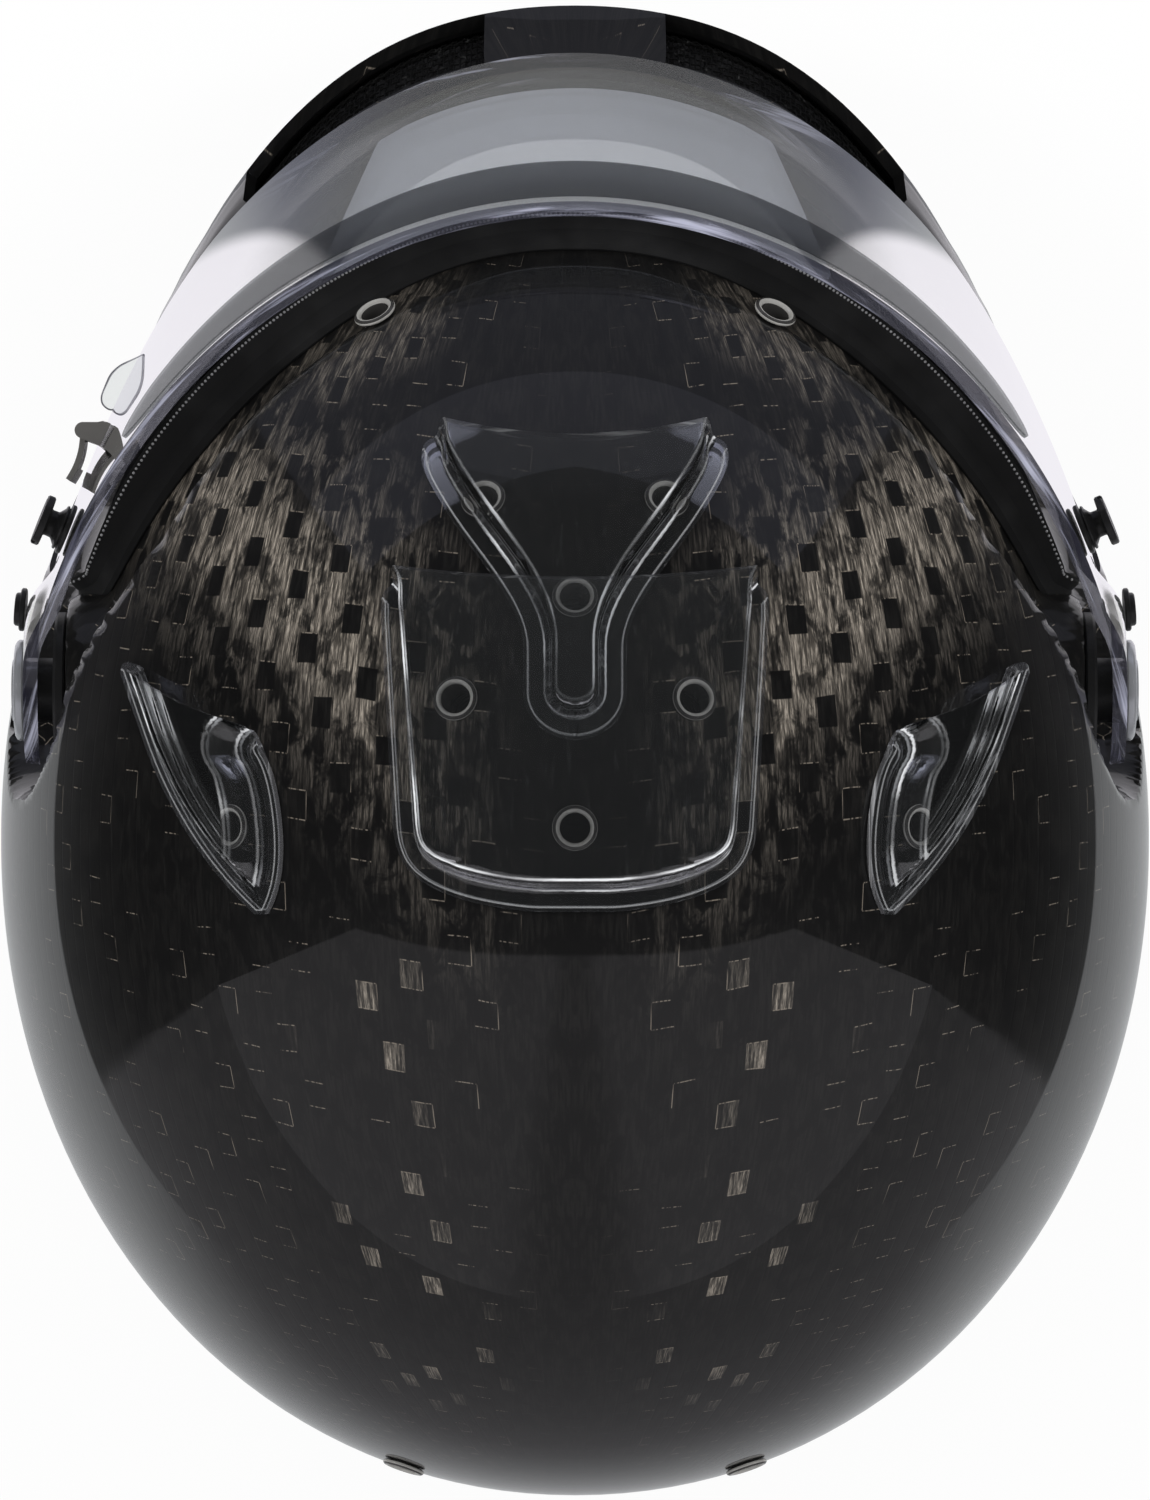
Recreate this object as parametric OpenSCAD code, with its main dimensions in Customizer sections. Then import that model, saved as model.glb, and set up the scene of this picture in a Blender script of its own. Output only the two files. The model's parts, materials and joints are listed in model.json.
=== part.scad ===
// Full-face carbon racing helmet with hinged visor and clear air scoops.
// Millimetres. The face looks along -Y, +Z is up and +X is the wearer's left.
// The origin lies under the middle of the helmet, on the plane of its bottom edge.

/* [Shell] */
// Width of the shell at its widest
shell_w = 255; // [240:1:275]
// Distance from the shell's middle plane forward to the brow, at the widest height
brow_reach = 148; // [140:1:156]
// Distance from the shell's middle plane back to the rear
rear_reach = 145.5; // [138:0.5:156]
// How far the middle plane lies behind the origin
mid_y = 20; // [14:1:26]
// Height of the widest section
widest_z = 105; // [95:1:115]
// Height of the dome above the widest section
dome_h = 157; // [148:1:166]
// How far the chin bar stands ahead of the dome's line
chin_reach = 43.5; // [36:0.5:46]
// Height of the chin bar's most forward ridge
chin_z = 62; // [56:1:66]
// Laminate thickness
shell_t = 3; // [2:0.1:4]

/* [Eyeport] */
// How far the eyeport's lower edge lies under the widest section
port_drop = 14; // [10:1:17]
// How far the eyeport's upper edge lies above the widest section
port_rise = 73; // [69:1:76]

/* [Visor] */
// Visor thickness
visor_t = 3.2; // [2:0.1:3.6]
// How far the visor's lower level lies inside the shell's half width
visor_low_in = 1.5; // [0.5:0.1:2.5]
// How far the visor's upper level lies inside the shell's half width
visor_top_in = 6.5; // [5.5:0.1:7.5]
// Distance from the chin bar to the visor's inner face, at the visor's lower edge
visor_chin_gap = 3.5; // [3:0.1:6]
// Distance from the brow to the visor's inner face, at the visor's upper edge
visor_brow_gap = 11.6; // [10:0.1:14]
// How far the visor reaches under the eyeport's lower edge
visor_lap_low = 9; // [7:0.5:11]
// How far the visor reaches over the eyeport's upper edge
visor_lap_top = 12; // [9:0.5:14]
// Distance of the pivot ahead of the shell's middle plane
pivot_ahead = 33; // [29:1:37]
// Height of the pivot above the widest section
pivot_rise = 45; // [41:1:49]
// Radius of the visor's round arm end
arm_r = 17; // [15:0.5:19]
// Radius of the visor's pivot hole
pivot_bore_r = 7.1; // [5:0.1:9]
// Depth of the side recess that the arms move in
recess_depth = 9; // [8:0.5:11]

/* [Vents] */
// Bore radius of a vent eyelet
eyelet_bore_r = 3.1; // [2:0.1:4]
// Flange radius of a vent eyelet
eyelet_flange_r = 4.6; // [4.2:0.1:6]
// Wall of a vent eyelet's barrel
eyelet_wall = 0.5; // [0.3:0.1:0.8]
// Plate thickness of the clear scoops
scoop_t = 1.5; // [1:0.1:2]
// Flange width of the clear scoops
scoop_flange = 4; // [3:0.5:6]
// Height of the front scoop's duct
front_scoop_h = 8; // [5:0.5:12]
// Height of the rear scoop's duct
rear_scoop_h = 7; // [5:0.5:12]
// Height of the side scoops' ducts
side_scoop_h = 7; // [4:0.5:10]

/* [Linings] */
// Thickness of the impact liner at the crown
liner_crown_t = 34; // [28:1:40]
// Distance from the shell's side to the head cavity
liner_side_t = 35.5; // [32:0.5:39]
// Distance from the brow to the head cavity
liner_front_t = 36; // [32:0.5:40]
// Distance from the shell's rear to the head cavity
liner_rear_t = 33.5; // [30:0.5:38]
// Thickness of the crown pad
crown_pad_t = 8; // [5:1:12]
// Thickness of the cheek pads
cheek_pad_t = 30; // [24:1:36]
// Thickness of the neck roll
neck_roll_t = 16; // [12:1:20]
// Thickness of the chin bar's liner
chin_liner_t = 15; // [10:1:20]

/* [Fittings] */
// Tear-off post disc radius
post_disc_r = 5.6; // [4.5:0.1:7]
// Tear-off post neck radius
post_neck_r = 3; // [2.2:0.1:3.6]
// Length of a tear-off post's neck
post_neck_l = 2; // [1.4:0.1:4]
// Thread radius of the head-restraint inserts
insert_thread_r = 3; // [2.5:0.5:4]
// Length of a head-restraint insert's thread
insert_l = 8; // [6:0.5:12]
// Width of the chin strap's webbing
strap_w = 25; // [20:1:28]
// Thickness of the chin strap's webbing
strap_t = 2; // [1.5:0.1:2.5]
// Wire radius of the D-rings
ring_wire_r = 2; // [1.5:0.1:2.4]

/* [Hidden] */
$fn = 48;

gap = 0.3;          // clearance between parts that lie against each other
dome_n = 1.92;      // roundness exponent of the dome's outline, 2 is an ellipse
plan_n = 2.05;      // roundness exponent of the plan
side_tuck = 0.12;   // shares by which the sides, the rear and the front draw in at the bottom edge
rear_tuck = 0.13;
front_tuck = 0.10;
tuck_n = 2.2;       // how late the tuck begins below the widest section
chin_top = widest_z + 45;   // height where the chin bar's bulge starts
chin_fall = 2.5;            // how fast the bulge falls off above its ridge
chin_side = 3.6;            // how far round the sides the bulge keeps its reach
chin_side_fall = 1.7;       // how softly it ends there
widest_v = 0.35;            // share of the rows below the widest section
port_low = widest_z - port_drop;
port_high = widest_z + port_rise;
pivot_y = mid_y - pivot_ahead;
pivot_z = widest_z + pivot_rise;
cavity_w = shell_w / 2 - liner_side_t;
cavity_front = brow_reach - liner_front_t;
cavity_rear = rear_reach - liner_rear_t;
cheek_gap = cavity_w - cheek_pad_t;

// ---------- small helpers ----------
function sign_of(x) = x < 0 ? -1 : 1;
function spow(x, p) = sign_of(x) * pow(abs(x), p);
function mix(a, b, t) = a + (b - a) * t;
function unit_of(x) = min(1, max(0, x));
function ease(t) = t * t * (3 - 2 * t);
function unit(v) = v / norm(v);

// ---------- shell surface: plan angle a (0 = front, 90 = +X), height share v (0..1) ----------
function v_of_z(z) = z <= widest_z
    ? widest_v * z / widest_z
    : widest_v + (1 - widest_v) * asin(pow(unit_of((z - widest_z) / dome_h), dome_n / 2)) / 90;
function z_of_v(v) = v <= widest_v
    ? widest_z * v / widest_v
    : widest_z + dome_h * pow(sin(90 * (v - widest_v) / (1 - widest_v)), 2 / dome_n);
function dome_share(v) = v <= widest_v
    ? 1
    : pow(max(0, cos(90 * (v - widest_v) / (1 - widest_v))), 2 / dome_n);
function tuck(v) = v >= widest_v ? 0 : pow(1 - v / widest_v, tuck_n);
function chin_bulge(z) = chin_reach * pow(unit_of((chin_top - z) / (chin_top - chin_z)), chin_fall);
function chin_share(a) = pow(max(0, 1 - pow(abs(sin(a)), chin_side)), chin_side_fall);
function half_w(v) = shell_w / 2 * dome_share(v) * (1 - side_tuck * tuck(v));
function front_at(v) = brow_reach * dome_share(v) * (1 - front_tuck * tuck(v));
function rear_at(v) = rear_reach * dome_share(v) * (1 - rear_tuck * tuck(v));

// the visor's size follows the shell's by its clearances
visor_low_z = port_low - visor_lap_low;
visor_top_z = port_high + visor_lap_top;
visor_low_w = shell_w / 2 - visor_low_in;
visor_top_w = shell_w / 2 - visor_top_in;
visor_low_reach = front_at(v_of_z(visor_low_z)) + chin_bulge(visor_low_z) + visor_chin_gap + visor_t;
visor_top_reach = front_at(v_of_z(visor_top_z)) + visor_brow_gap + visor_t;

// the side recess: a wedge that opens forward from a circle round the pivot
recess_r = arm_r + 4;
recess_slope = 0.6;             // how fast the wedge opens
recess_up = 40;                 // how far it opens above and below the pivot
recess_down = 75;
recess_blend = 5;               // width of its sloping edge
recess_in = 17.5;               // how far the flat floor under the pivot lies inside the half width
recess_x = shell_w / 2 - recess_in;
floor_blend = 3;                // width of the floor's edge
function recess_edge(y, z) = y < pivot_y
    ? abs(z - pivot_z) - min(recess_r + recess_slope * (pivot_y - y), z > pivot_z ? recess_up : recess_down)
    : norm([y - pivot_y, z - pivot_z]) - recess_r;
function recess_mask(y, z) = unit_of(0.5 - recess_edge(y, z) / recess_blend);
function floor_mask(y, z) =
    unit_of((recess_r + floor_blend - norm([y - pivot_y, z - pivot_z])) / floor_blend);

function raw_shell(a, v) = let (front = cos(a) > 0, z = z_of_v(v))
    [half_w(v) * spow(sin(a), 2 / plan_n),
     mid_y - (front ? front_at(v) : rear_at(v)) * spow(cos(a), 2 / plan_n)
           - (front ? chin_bulge(z) * chin_share(a) : 0),
     z];
function shell_point(a, v) = let (
        p = raw_shell(a, v),
        side = ease(unit_of(abs(sin(a)) * 1.25)),
        x = abs(p.x) - recess_depth * recess_mask(p.y, p.z) * side,
        flat = cos(a) > -0.3 && abs(sin(a)) > 0.5 ? floor_mask(p.y, p.z) : 0
    )
    [sign_of(p.x) * mix(x, min(x + recess_depth, recess_x), flat), p.y, p.z];
step = 0.004;       // height share over which the surface's slope is taken
function shell_normal(a, v) = v > 0.995
    ? [0, 0, 1]
    : unit(cross(raw_shell(a + 0.5, v) - raw_shell(a - 0.5, v),
                 raw_shell(a, min(0.999, v + step)) - raw_shell(a, max(0, v - step))));
function skin(a, v, depth) = shell_point(a, v) - depth * shell_normal(a, v);

// ---------- the dome by plan position, for fittings on top ----------
function dome_z(x, y) = let (
        reach = y < mid_y ? brow_reach : rear_reach,
        c = pow(pow(abs(x) / (shell_w / 2), plan_n) + pow(abs(y - mid_y) / reach, plan_n), 1 / plan_n)
    )
    widest_z + dome_h * pow(max(0, 1 - pow(min(1, c), dome_n)), 1 / dome_n);
function dome_point(x, y, h = 0) = let (
        d = 0.2,
        n = unit([dome_z(x - d, y) - dome_z(x + d, y), dome_z(x, y - d) - dome_z(x, y + d), 2 * d])
    )
    [x, y, dome_z(x, y)] + h * n;
function dome_normal(x, y) = dome_point(x, y, 1) - dome_point(x, y);

// ---------- a closed sheet between two grids of points ----------
// out[i][j] is the outer skin, inn[i][j] the inner one; rows i run up, columns j run with a.
// wrap joins the last column to the first, pole draws the top row together in one point,
// and keep(i, j) says which cells are solid.
module sheet(out, inn, wrap = false, pole = false, keep = function (i, j) true) {
    rows = len(out) - 1;
    cols = len(out[0]);
    cells = wrap ? cols : cols - 1;
    count = len(out) * cols;
    at = function (i, j) i * cols + (pole && i == rows ? 0 : j % cols);
    solid = function (i, j) i >= 0 && i < rows
        && (wrap || (j >= 0 && j < cells)) && keep(i, (j + cells) % cells);
    points = concat([for (row = out) each row], [for (row = inn) each row]);
    faces = [for (i = [0:rows - 1], j = [0:cells - 1]) if (solid(i, j)) let (
            a = at(i, j), b = at(i, j + 1), c = at(i + 1, j + 1), d = at(i + 1, j),
            tip = pole && i == rows - 1
        ) each concat(
            [[a, c, b], [a + count, b + count, c + count]],
            tip ? [] : [[a, d, c], [a + count, c + count, d + count]],
            solid(i - 1, j) ? [] : [[a, b, b + count], [a, b + count, a + count]],
            tip || solid(i + 1, j) ? [] : [[c, d, d + count], [c, d + count, c + count]],
            solid(i, j - 1) ? [] : [[d, a, a + count], [d, a + count, d + count]],
            solid(i, j + 1) ? [] : [[b, c, c + count], [b, c + count, b + count]]
        )];
    polyhedron(points = points, faces = faces, convexity = 8);
}

// a tube through rings of points, closed on itself or capped at both ends
module tube(rings, closed = false) {
    n = len(rings);
    m = len(rings[0]);
    last = closed ? n - 1 : n - 2;
    sides = [for (i = [0:last], j = [0:m - 1]) let (
            a = i * m + j, b = i * m + (j + 1) % m,
            c = ((i + 1) % n) * m + (j + 1) % m, d = ((i + 1) % n) * m + j
        ) each [[a, c, b], [a, d, c]]];
    caps = closed ? [] : concat(
        [for (j = [1:m - 2]) [0, j, j + 1]],
        [for (j = [1:m - 2]) [(n - 1) * m, (n - 1) * m + j + 1, (n - 1) * m + j]]);
    polyhedron(points = [for (r = rings) each r], faces = concat(sides, caps), convexity = 8);
}

// turn a fitting drawn along +Z onto a direction
module aim(at, dir) {
    translate(at) rotate([0, acos(dir.z / norm(dir)), atan2(dir.y, dir.x)]) children();
}

// ---------- outer shell ----------
cols = 80;
col_step = 360 / cols;
port_cols = 15;                       // columns from the middle to the eyeport's end
port_end = port_cols * col_step;
port_lip = 5;                         // width of the gasket's seat
trim_floor = 2;                       // thickness of the trim under the shell's edge
low_rows = 7;
band_rows = 5;
dome_rows = 8;
rows_low_lip = low_rows + 1;          // row of the eyeport's lower edge
rows_high = rows_low_lip + band_rows; // row of the eyeport's upper edge
rows_top = rows_high + 1 + dome_rows;

function plan_angle(j) = let (a = j * col_step) a > 180 ? a - 360 : a;
// the visor's outline sets the eyeport's: both narrow from the middle to the pivots
arm_a = 77;             // angle where the arm's round end begins
top_from = 20;          // angles from which the upper and the lower edge run to the arm
low_from = 38;
function visor_high(a) =
    mix(visor_top_z, pivot_z + arm_r, pow(unit_of((abs(a) - top_from) / (arm_a - top_from)), 1.6));
function visor_low(a) =
    mix(visor_low_z, pivot_z - arm_r, ease(unit_of((abs(a) - low_from) / (arm_a - low_from))));
port_n = 6;             // roundness exponent of the eyeport's ends
port_end_share = 0.45;  // height share that is left of the eyeport at its very end
function port_share(a) = abs(a) >= port_end ? port_end_share
    : max(port_end_share, pow(1 - pow(abs(a) / port_end, port_n), 1 / port_n));
function port_top(a) = visor_high(a) - (visor_top_z - port_high);
function port_foot(a) = visor_low(a) + (port_low - visor_low_z);
function port_mid(a) = (port_top(a) + port_foot(a)) / 2;
function port_half(a) = (port_top(a) - port_foot(a)) / 2;
// behind the eyeport the rows spread out again towards level ones
back_low = widest_z - 10;
back_high = widest_z + 60;
function port_edge(a, side) = let (
        edge = port_mid(min(abs(a), port_end)) + side * port_half(min(abs(a), port_end)) * port_share(a),
        t = ease(unit_of((abs(a) - port_end) / 50))
    )
    mix(edge, side < 0 ? back_low : back_high, t);
function row_v(i, a) = let (low = port_edge(a, -1), high = port_edge(a, 1))
    i <= low_rows ? v_of_z(mix(trim_floor + gap, low - port_lip, i / low_rows))
    : i <= rows_high ? v_of_z(mix(low, high, (i - rows_low_lip) / band_rows))
    : mix(v_of_z(high + port_lip), 1, (i - rows_high - 1) / dome_rows);
function in_port(i, j) = i >= rows_low_lip && i < rows_high && (j < port_cols || j >= cols - port_cols);
// chin vents: two slots beside the middle panel
vent_from = 2;          // first and last column, and the row
vent_to = 8;
vent_row = 5;
function vent_z(i) = mix(trim_floor + gap, port_low - port_lip, i / low_rows);
function in_vent(i, j) = i == vent_row
    && ((j >= vent_from && j < vent_to) || (j < cols - vent_from && j >= cols - vent_to));
function shell_grid(depth) = [for (i = [0:rows_top]) [for (j = [0:cols - 1])
    skin(plan_angle(j), row_v(i, plan_angle(j)), depth)]];

// the shell's front at a place in X and Z, ahead of the eyeport's chin
function front_y(x, z) = let (v = v_of_z(z))
    mid_y - front_at(v) * pow(max(0, 1 - pow(abs(x) / half_w(v), plan_n)), 1 / plan_n);
brow_vent_x = 42.5;
brow_vent_back = 4.1;       // distance of the brow's vents behind the seal's seat
brow_vents = [for (s = [-1, 1])
    [s * brow_vent_x, front_y(brow_vent_x, port_high + port_lip) + brow_vent_back]];
front_vents = [[-19, -52], [19, -52], [0, -31.5]];
rear_vents = [[-24.5, -10.5], [24.5, -10.5], [0, 16]];
side_vent_in = 56;          // distance of the side vents from the shell's widest point
side_vents = [for (s = [-1, 1]) [s * (shell_w / 2 - side_vent_in), 16]];
exhaust_vents = [for (s = [-1, 1]) [s * 37.5, 157]];
top_vents = concat(brow_vents, front_vents, rear_vents, side_vents, exhaust_vents);
barrel_r = eyelet_bore_r + eyelet_wall;
barrel_l = shell_t + 4;

module vent_cuts(r, depth) {
    for (p = top_vents)
        aim(dome_point(p.x, p.y, -depth), dome_normal(p.x, p.y)) cylinder(r = r, h = depth + 4);
}

insert_y = 55;              // place of the head-restraint inserts
insert_z = 62;
insert_r = insert_thread_r + 2;
rivet_y = 0;                // place of the strap's rivets
rivet_z = 45;
rivet_r = 2.5;
stud_y = pivot_y - 47;      // place of the lock's stud
stud_z = pivot_z - 42;
stud_r = 2.2;
hole_gap = 0.1;             // room round a fitting in its hole
plate_r = arm_r;
plate_x = recess_x + gap;
plate_t = 2.5;
arm_play = 3.2;             // room between the pivot's plate and the arm
arm_x = plate_x + plate_t + arm_play + visor_t;     // outer face of the visor's arms
// the shell's half width at a place in Y and Z: the plan angle is found in three steps
function plan_a(ahead, reach) = acos(pow(unit_of(ahead / reach), plan_n / 2));
function side_x(y, z) = let (
        v = v_of_z(z),
        front = y < mid_y,
        reach = front ? front_at(v) : rear_at(v),
        bulge = front ? chin_bulge(z) : 0,
        away = abs(y - mid_y),
        a1 = plan_a(away, reach),
        a2 = plan_a(away - bulge * chin_share(a1), reach),
        a3 = plan_a(away - bulge * chin_share(a2), reach)
    )
    half_w(v) * pow(sin(a3), 2 / plan_n);

// a fitting drawn along +Z, laid along +X or -X at a place on the side
module on_side(s, x, y, z) {
    translate([s * x, y, z]) rotate([0, s * 90, 0]) children();
}

module outer_shell() {
    color([0.06, 0.06, 0.065]) difference() {
        sheet(shell_grid(0), shell_grid(shell_t), true, true,
              function (i, j) !in_port(i, j) && !in_vent(i, j));
        vent_cuts(barrel_r + 0.2, shell_t + 3);
        for (s = [-1, 1]) {
            on_side(s, side_x(insert_y, insert_z) - 10, insert_y, insert_z)
                cylinder(r = insert_r + hole_gap, h = 14);
            on_side(s, side_x(rivet_y, rivet_z) - 8, rivet_y, rivet_z)
                cylinder(r = rivet_r + hole_gap, h = 12);
            on_side(s, plate_x - hole_gap, pivot_y, pivot_z)
                cylinder(r = plate_r + 0.5, h = 20);
        }
        on_side(1, side_x(stud_y, stud_z) - recess_depth - 8, stud_y, stud_z)
            cylinder(r = stud_r + hole_gap, h = 14);
    }
}

// ---------- linings ----------
liner_cols = 48;
liner_port_cols = 9;  // columns from the middle to the eyeport's end
liner_low_rows = 5;
liner_rows = 11;
liner_gap = 0.8;      // the coarse lining stays this far inside the laminate
liner_foot = 22;      // height of the lining's lower edge
pocket_extra = 20;    // the lining's pocket is this much wider than the recess
pocket_gap = 4.5;     // and lies this far inside the laminate
pocket_back = 115;    // it ends by this plan angle
cavity_h = dome_h - liner_crown_t;
function liner_angle(j) = let (a = j * 360 / liner_cols) a > 180 ? a - 360 : a;
function cavity_v(z) = z <= widest_z
    ? widest_v * z / widest_z
    : widest_v + (1 - widest_v) * asin(pow(unit_of((z - widest_z) / cavity_h), dome_n / 2)) / 90;
function cavity(a, v, inset = 0) = let (c = dome_share(v), up = (z_of_v(v) - widest_z) / dome_h)
    [(cavity_w - inset) * c * spow(sin(a), 2 / plan_n),
     mid_y - ((cos(a) > 0 ? cavity_front : cavity_rear) - inset) * c * spow(cos(a), 2 / plan_n),
     v <= widest_v ? z_of_v(v) : widest_z + (cavity_h - inset) * up];
// the lining's outer skin; least_x keeps it outside the cavity's
function liner_out(a, v, least_x) = let (
        p = skin(a, v, shell_t + liner_gap),
        near = unit_of((pocket_extra - recess_edge(p.y, p.z)) / recess_blend),
        pocket = near * unit_of((pocket_back - abs(a)) / 15),
        wall = side_x(p.y, p.z) - recess_depth - shell_t - pocket_gap,
        least = min(abs(p.x), least_x)
    )
    [sign_of(p.x) * max(least, min(abs(p.x), mix(abs(p.x), wall, pocket))), p.y, p.z];
// height share of a row, between the lining's foot, the eyeport's upper edge and the crown
function liner_row(i, foot, edge) = i <= liner_low_rows
    ? mix(foot, edge, i / liner_low_rows)
    : mix(edge, 1, (i - liner_low_rows) / (liner_rows - liner_low_rows));
function liner_edge(a) = port_edge(a, 1) + 3;

room_x = 60;                        // size of the room round a strap anchor
room_y = 32;
room_in = 16;                       // how far it reaches into the head cavity
room_low = liner_foot - 2;
room_high = rivet_z + 19;

module impact_liner() {
    angles = [for (j = [0:liner_cols - 1]) liner_angle(j)];
    inner = [for (i = [0:liner_rows]) [for (a = angles)
        cavity(a, liner_row(i, cavity_v(liner_foot), cavity_v(liner_edge(a))))]];
    outer = [for (i = [0:liner_rows]) [for (j = [0:liner_cols - 1]) let (a = angles[j])
        liner_out(a, liner_row(i, v_of_z(liner_foot), v_of_z(liner_edge(a))), abs(inner[i][j].x) + 3)]];
    color([0.13, 0.13, 0.14]) difference() {
        sheet(outer, inner, true, true,
              function (i, j) i >= liner_low_rows
                  || (j >= liner_port_cols && j < liner_cols - liner_port_cols));
        vent_cuts(barrel_r + 1, 60);
        for (s = [-1, 1])
            translate([s * (cavity_w - room_in + room_x / 2), rivet_y, (room_low + room_high) / 2])
                cube([room_x, room_y, room_high - room_low], center = true);
        for (s = [-1, 1])
            on_side(s, side_x(insert_y, insert_z) - 16, insert_y, insert_z)
                cylinder(r = insert_r + 3, h = 30);
    }
}

chin_liner_low = 10;
chin_liner_high = chin_z - 7;
module chin_bar_liner() {
    rows = 4;
    span = 60;
    count = 20;
    grid = function (depth) [for (i = [0:rows]) [for (j = [0:count])
        skin(mix(-span, span, j / count), v_of_z(mix(chin_liner_low, chin_liner_high, i / rows)), depth)]];
    color([0.15, 0.15, 0.16]) sheet(grid(shell_t + liner_gap), grid(shell_t + liner_gap + chin_liner_t));
}

pad_gap = 1;                    // the padding lies this far inside the lining
crown_pad_low = widest_z + 17;  // height of the crown pad's lower edge behind the eyeport
module crown_pad() {
    cols = 24;
    rows = 6;
    low = function (a) abs(a) < port_end ? port_high : crown_pad_low;
    grid = function (inset) [for (i = [0:rows]) [for (j = [0:cols - 1])
        let (a = j * 360 / cols, b = a > 180 ? a - 360 : a)
            cavity(b, mix(cavity_v(low(b)), 1, i / rows), inset)]];
    color([0.2, 0.2, 0.22]) sheet(grid(pad_gap), grid(pad_gap + crown_pad_t), true, true);
}

cheek_low = 30;
cheek_high = widest_z + 3;
module cheek_pad(s) {
    rows = 8;
    count = 10;
    from = 50;
    to = 100;
    place = function (i, j, full) let (
            u = j / count, t = i / rows,
            p = cavity(s * mix(from, to, s > 0 ? u : 1 - u), v_of_z(mix(cheek_low, cheek_high, t)), pad_gap),
            swell = pow(max(0, sin(180 * mix(0.06, 0.94, u)) * sin(180 * mix(0.06, 0.94, t))), 0.4)
        )
        [full ? s * mix(abs(p.x), cheek_gap, swell) : p.x, p.y, p.z];
    grid = function (full) [for (i = [0:rows]) [for (j = [0:count]) place(i, j, full)]];
    color([0.17, 0.17, 0.19]) sheet(grid(false), grid(true));
}

neck_roll_low = liner_foot + 1;
neck_roll_high = liner_foot + 40;
module neck_roll() {
    rows = 6;
    count = 16;
    from = 118;
    to = 242;
    grid = function (full) [for (i = [0:rows]) [for (j = [0:count]) let (
            swell = pow(sin(180 * mix(0.06, 0.94, i / rows)), 0.5),
            v = v_of_z(mix(neck_roll_low, neck_roll_high, i / rows))
        )
        cavity(mix(from, to, j / count), v, pad_gap + (full ? neck_roll_t * swell : 0))]];
    color([0.17, 0.17, 0.19]) sheet(grid(false), grid(true));
}

// ---------- seals ----------
seal_high = 7;      // how far the seal stands up towards the visor at the brow's middle
seal_corner = 5;    // and at the eyeport's upper corners
seal_swell = 3;     // by how much it is higher between them, where the visor stands further off
seal_side = 2.2;    // how far it stands up at the eyeport's ends
seal_low = 1.1;     // and under the eyeport
function seal_top(t) = mix(seal_high, seal_corner, t) + seal_swell * sin(180 * t * t);
function by_port(i, j) = !in_port(i, j) && (
    (i == rows_low_lip - 1 || i == rows_high) && (j <= port_cols || j >= cols - port_cols - 1)
    || (i >= rows_low_lip && i < rows_high && (j == port_cols || j == cols - port_cols - 1)));
function seal_h(i, a) = i <= rows_low_lip ? seal_low
    : i >= rows_high ? seal_top(unit_of(abs(a) / port_end)) : seal_side;
module eyeport_gasket() {
    grid = function (height) [for (i = [0:rows_top]) [for (j = [0:cols - 1]) let (a = plan_angle(j))
        skin(a, row_v(i, a), height > 0 ? -seal_h(i, a) : -gap / 2)]];
    color([0.03, 0.03, 0.03]) difference() {
        sheet(grid(1), grid(0), true, true, function (i, j) by_port(i, j));
        for (s = [-1, 1]) on_side(s, plate_x - 8, pivot_y, pivot_z) cylinder(r = plate_r + 0.5, h = 20);
    }
}

trim_t = 1.8;
trim_h = 9;
trim_gap = 0.8;       // room between the trim's lips and the laminate
function level(p, z) = [p.x, p.y, z];
module bottom_trim() {
    top = v_of_z(trim_h);
    low = v_of_z(trim_floor);
    color([0.04, 0.04, 0.04]) tube([for (j = [0:cols - 1]) let (a = plan_angle(j)) [
        level(skin(a, top, -trim_t), trim_h), level(skin(a, 0, -trim_t), 0),
        level(skin(a, 0, shell_t + trim_t), 0), level(skin(a, top, shell_t + trim_t), trim_h),
        level(skin(a, top, shell_t + trim_gap), trim_h), level(skin(a, low, shell_t + trim_gap), trim_floor),
        level(skin(a, low, -gap), trim_floor), level(skin(a, top, -gap), trim_h)]], true);
}

// ---------- visor ----------
visor_end = 83.4;       // angle of the arm's rear end
visor_cols = 46;
visor_rows = 6;
// share by which the face is the arm's flat one: 1 on the round arm end, 0 from flare_r on
flare_r = 1.65 * arm_r;
function arm_flat(y, z) = ease(unit_of((flare_r - norm([y - pivot_y, z - pivot_z])) / (flare_r - arm_r)));
function visor_point(a, z, depth) = let (
        t = (z - visor_low_z) / (visor_top_z - visor_low_z),
        p = [(mix(visor_low_w, visor_top_w, t) - depth) * sin(a),
             mid_y - (mix(visor_low_reach, visor_top_reach, t) - depth) * cos(a), z],
        flat = arm_flat(p.y, z)
    )
    [sign_of(a) * mix(abs(p.x), arm_x - depth, flat), p.y, z];
function arm_half(a) = arm_r * sqrt(max(0, 1 - pow((abs(a) - arm_a) / (visor_end + 0.3 - arm_a), 2)));
function visor_top_at(a) = abs(a) > arm_a ? pivot_z + arm_half(a) : visor_high(a);
function visor_low_at(a) = abs(a) > arm_a ? pivot_z - arm_half(a) : visor_low(a);
function visor_angle(j) = let (u = 2 * j / visor_cols - 1)
    sign_of(u) * visor_end * (1 - pow(1 - abs(u), 1.15));

post_y = pivot_y - 34.7;
button_y = pivot_y - 17.5;
post_stem_r = 2;
button_stem_r = 1.6;
function visor_x(y, z) = let (
        t = (z - visor_low_z) / (visor_top_z - visor_low_z),
        x = mix(visor_low_w, visor_top_w, t)
            * sqrt(max(0, 1 - pow((mid_y - y) / mix(visor_low_reach, visor_top_reach, t), 2))),
        flat = arm_flat(y, z)
    )
    mix(x, arm_x, flat);
// outward direction of the visor on the side s
function visor_dir(s, y, z = pivot_z) = let (d = 0.5)
    unit([s, (visor_x(y - d, z) - visor_x(y + d, z)) / (2 * d),
          (visor_x(y, z - d) - visor_x(y, z + d)) / (2 * d)]);
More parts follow.
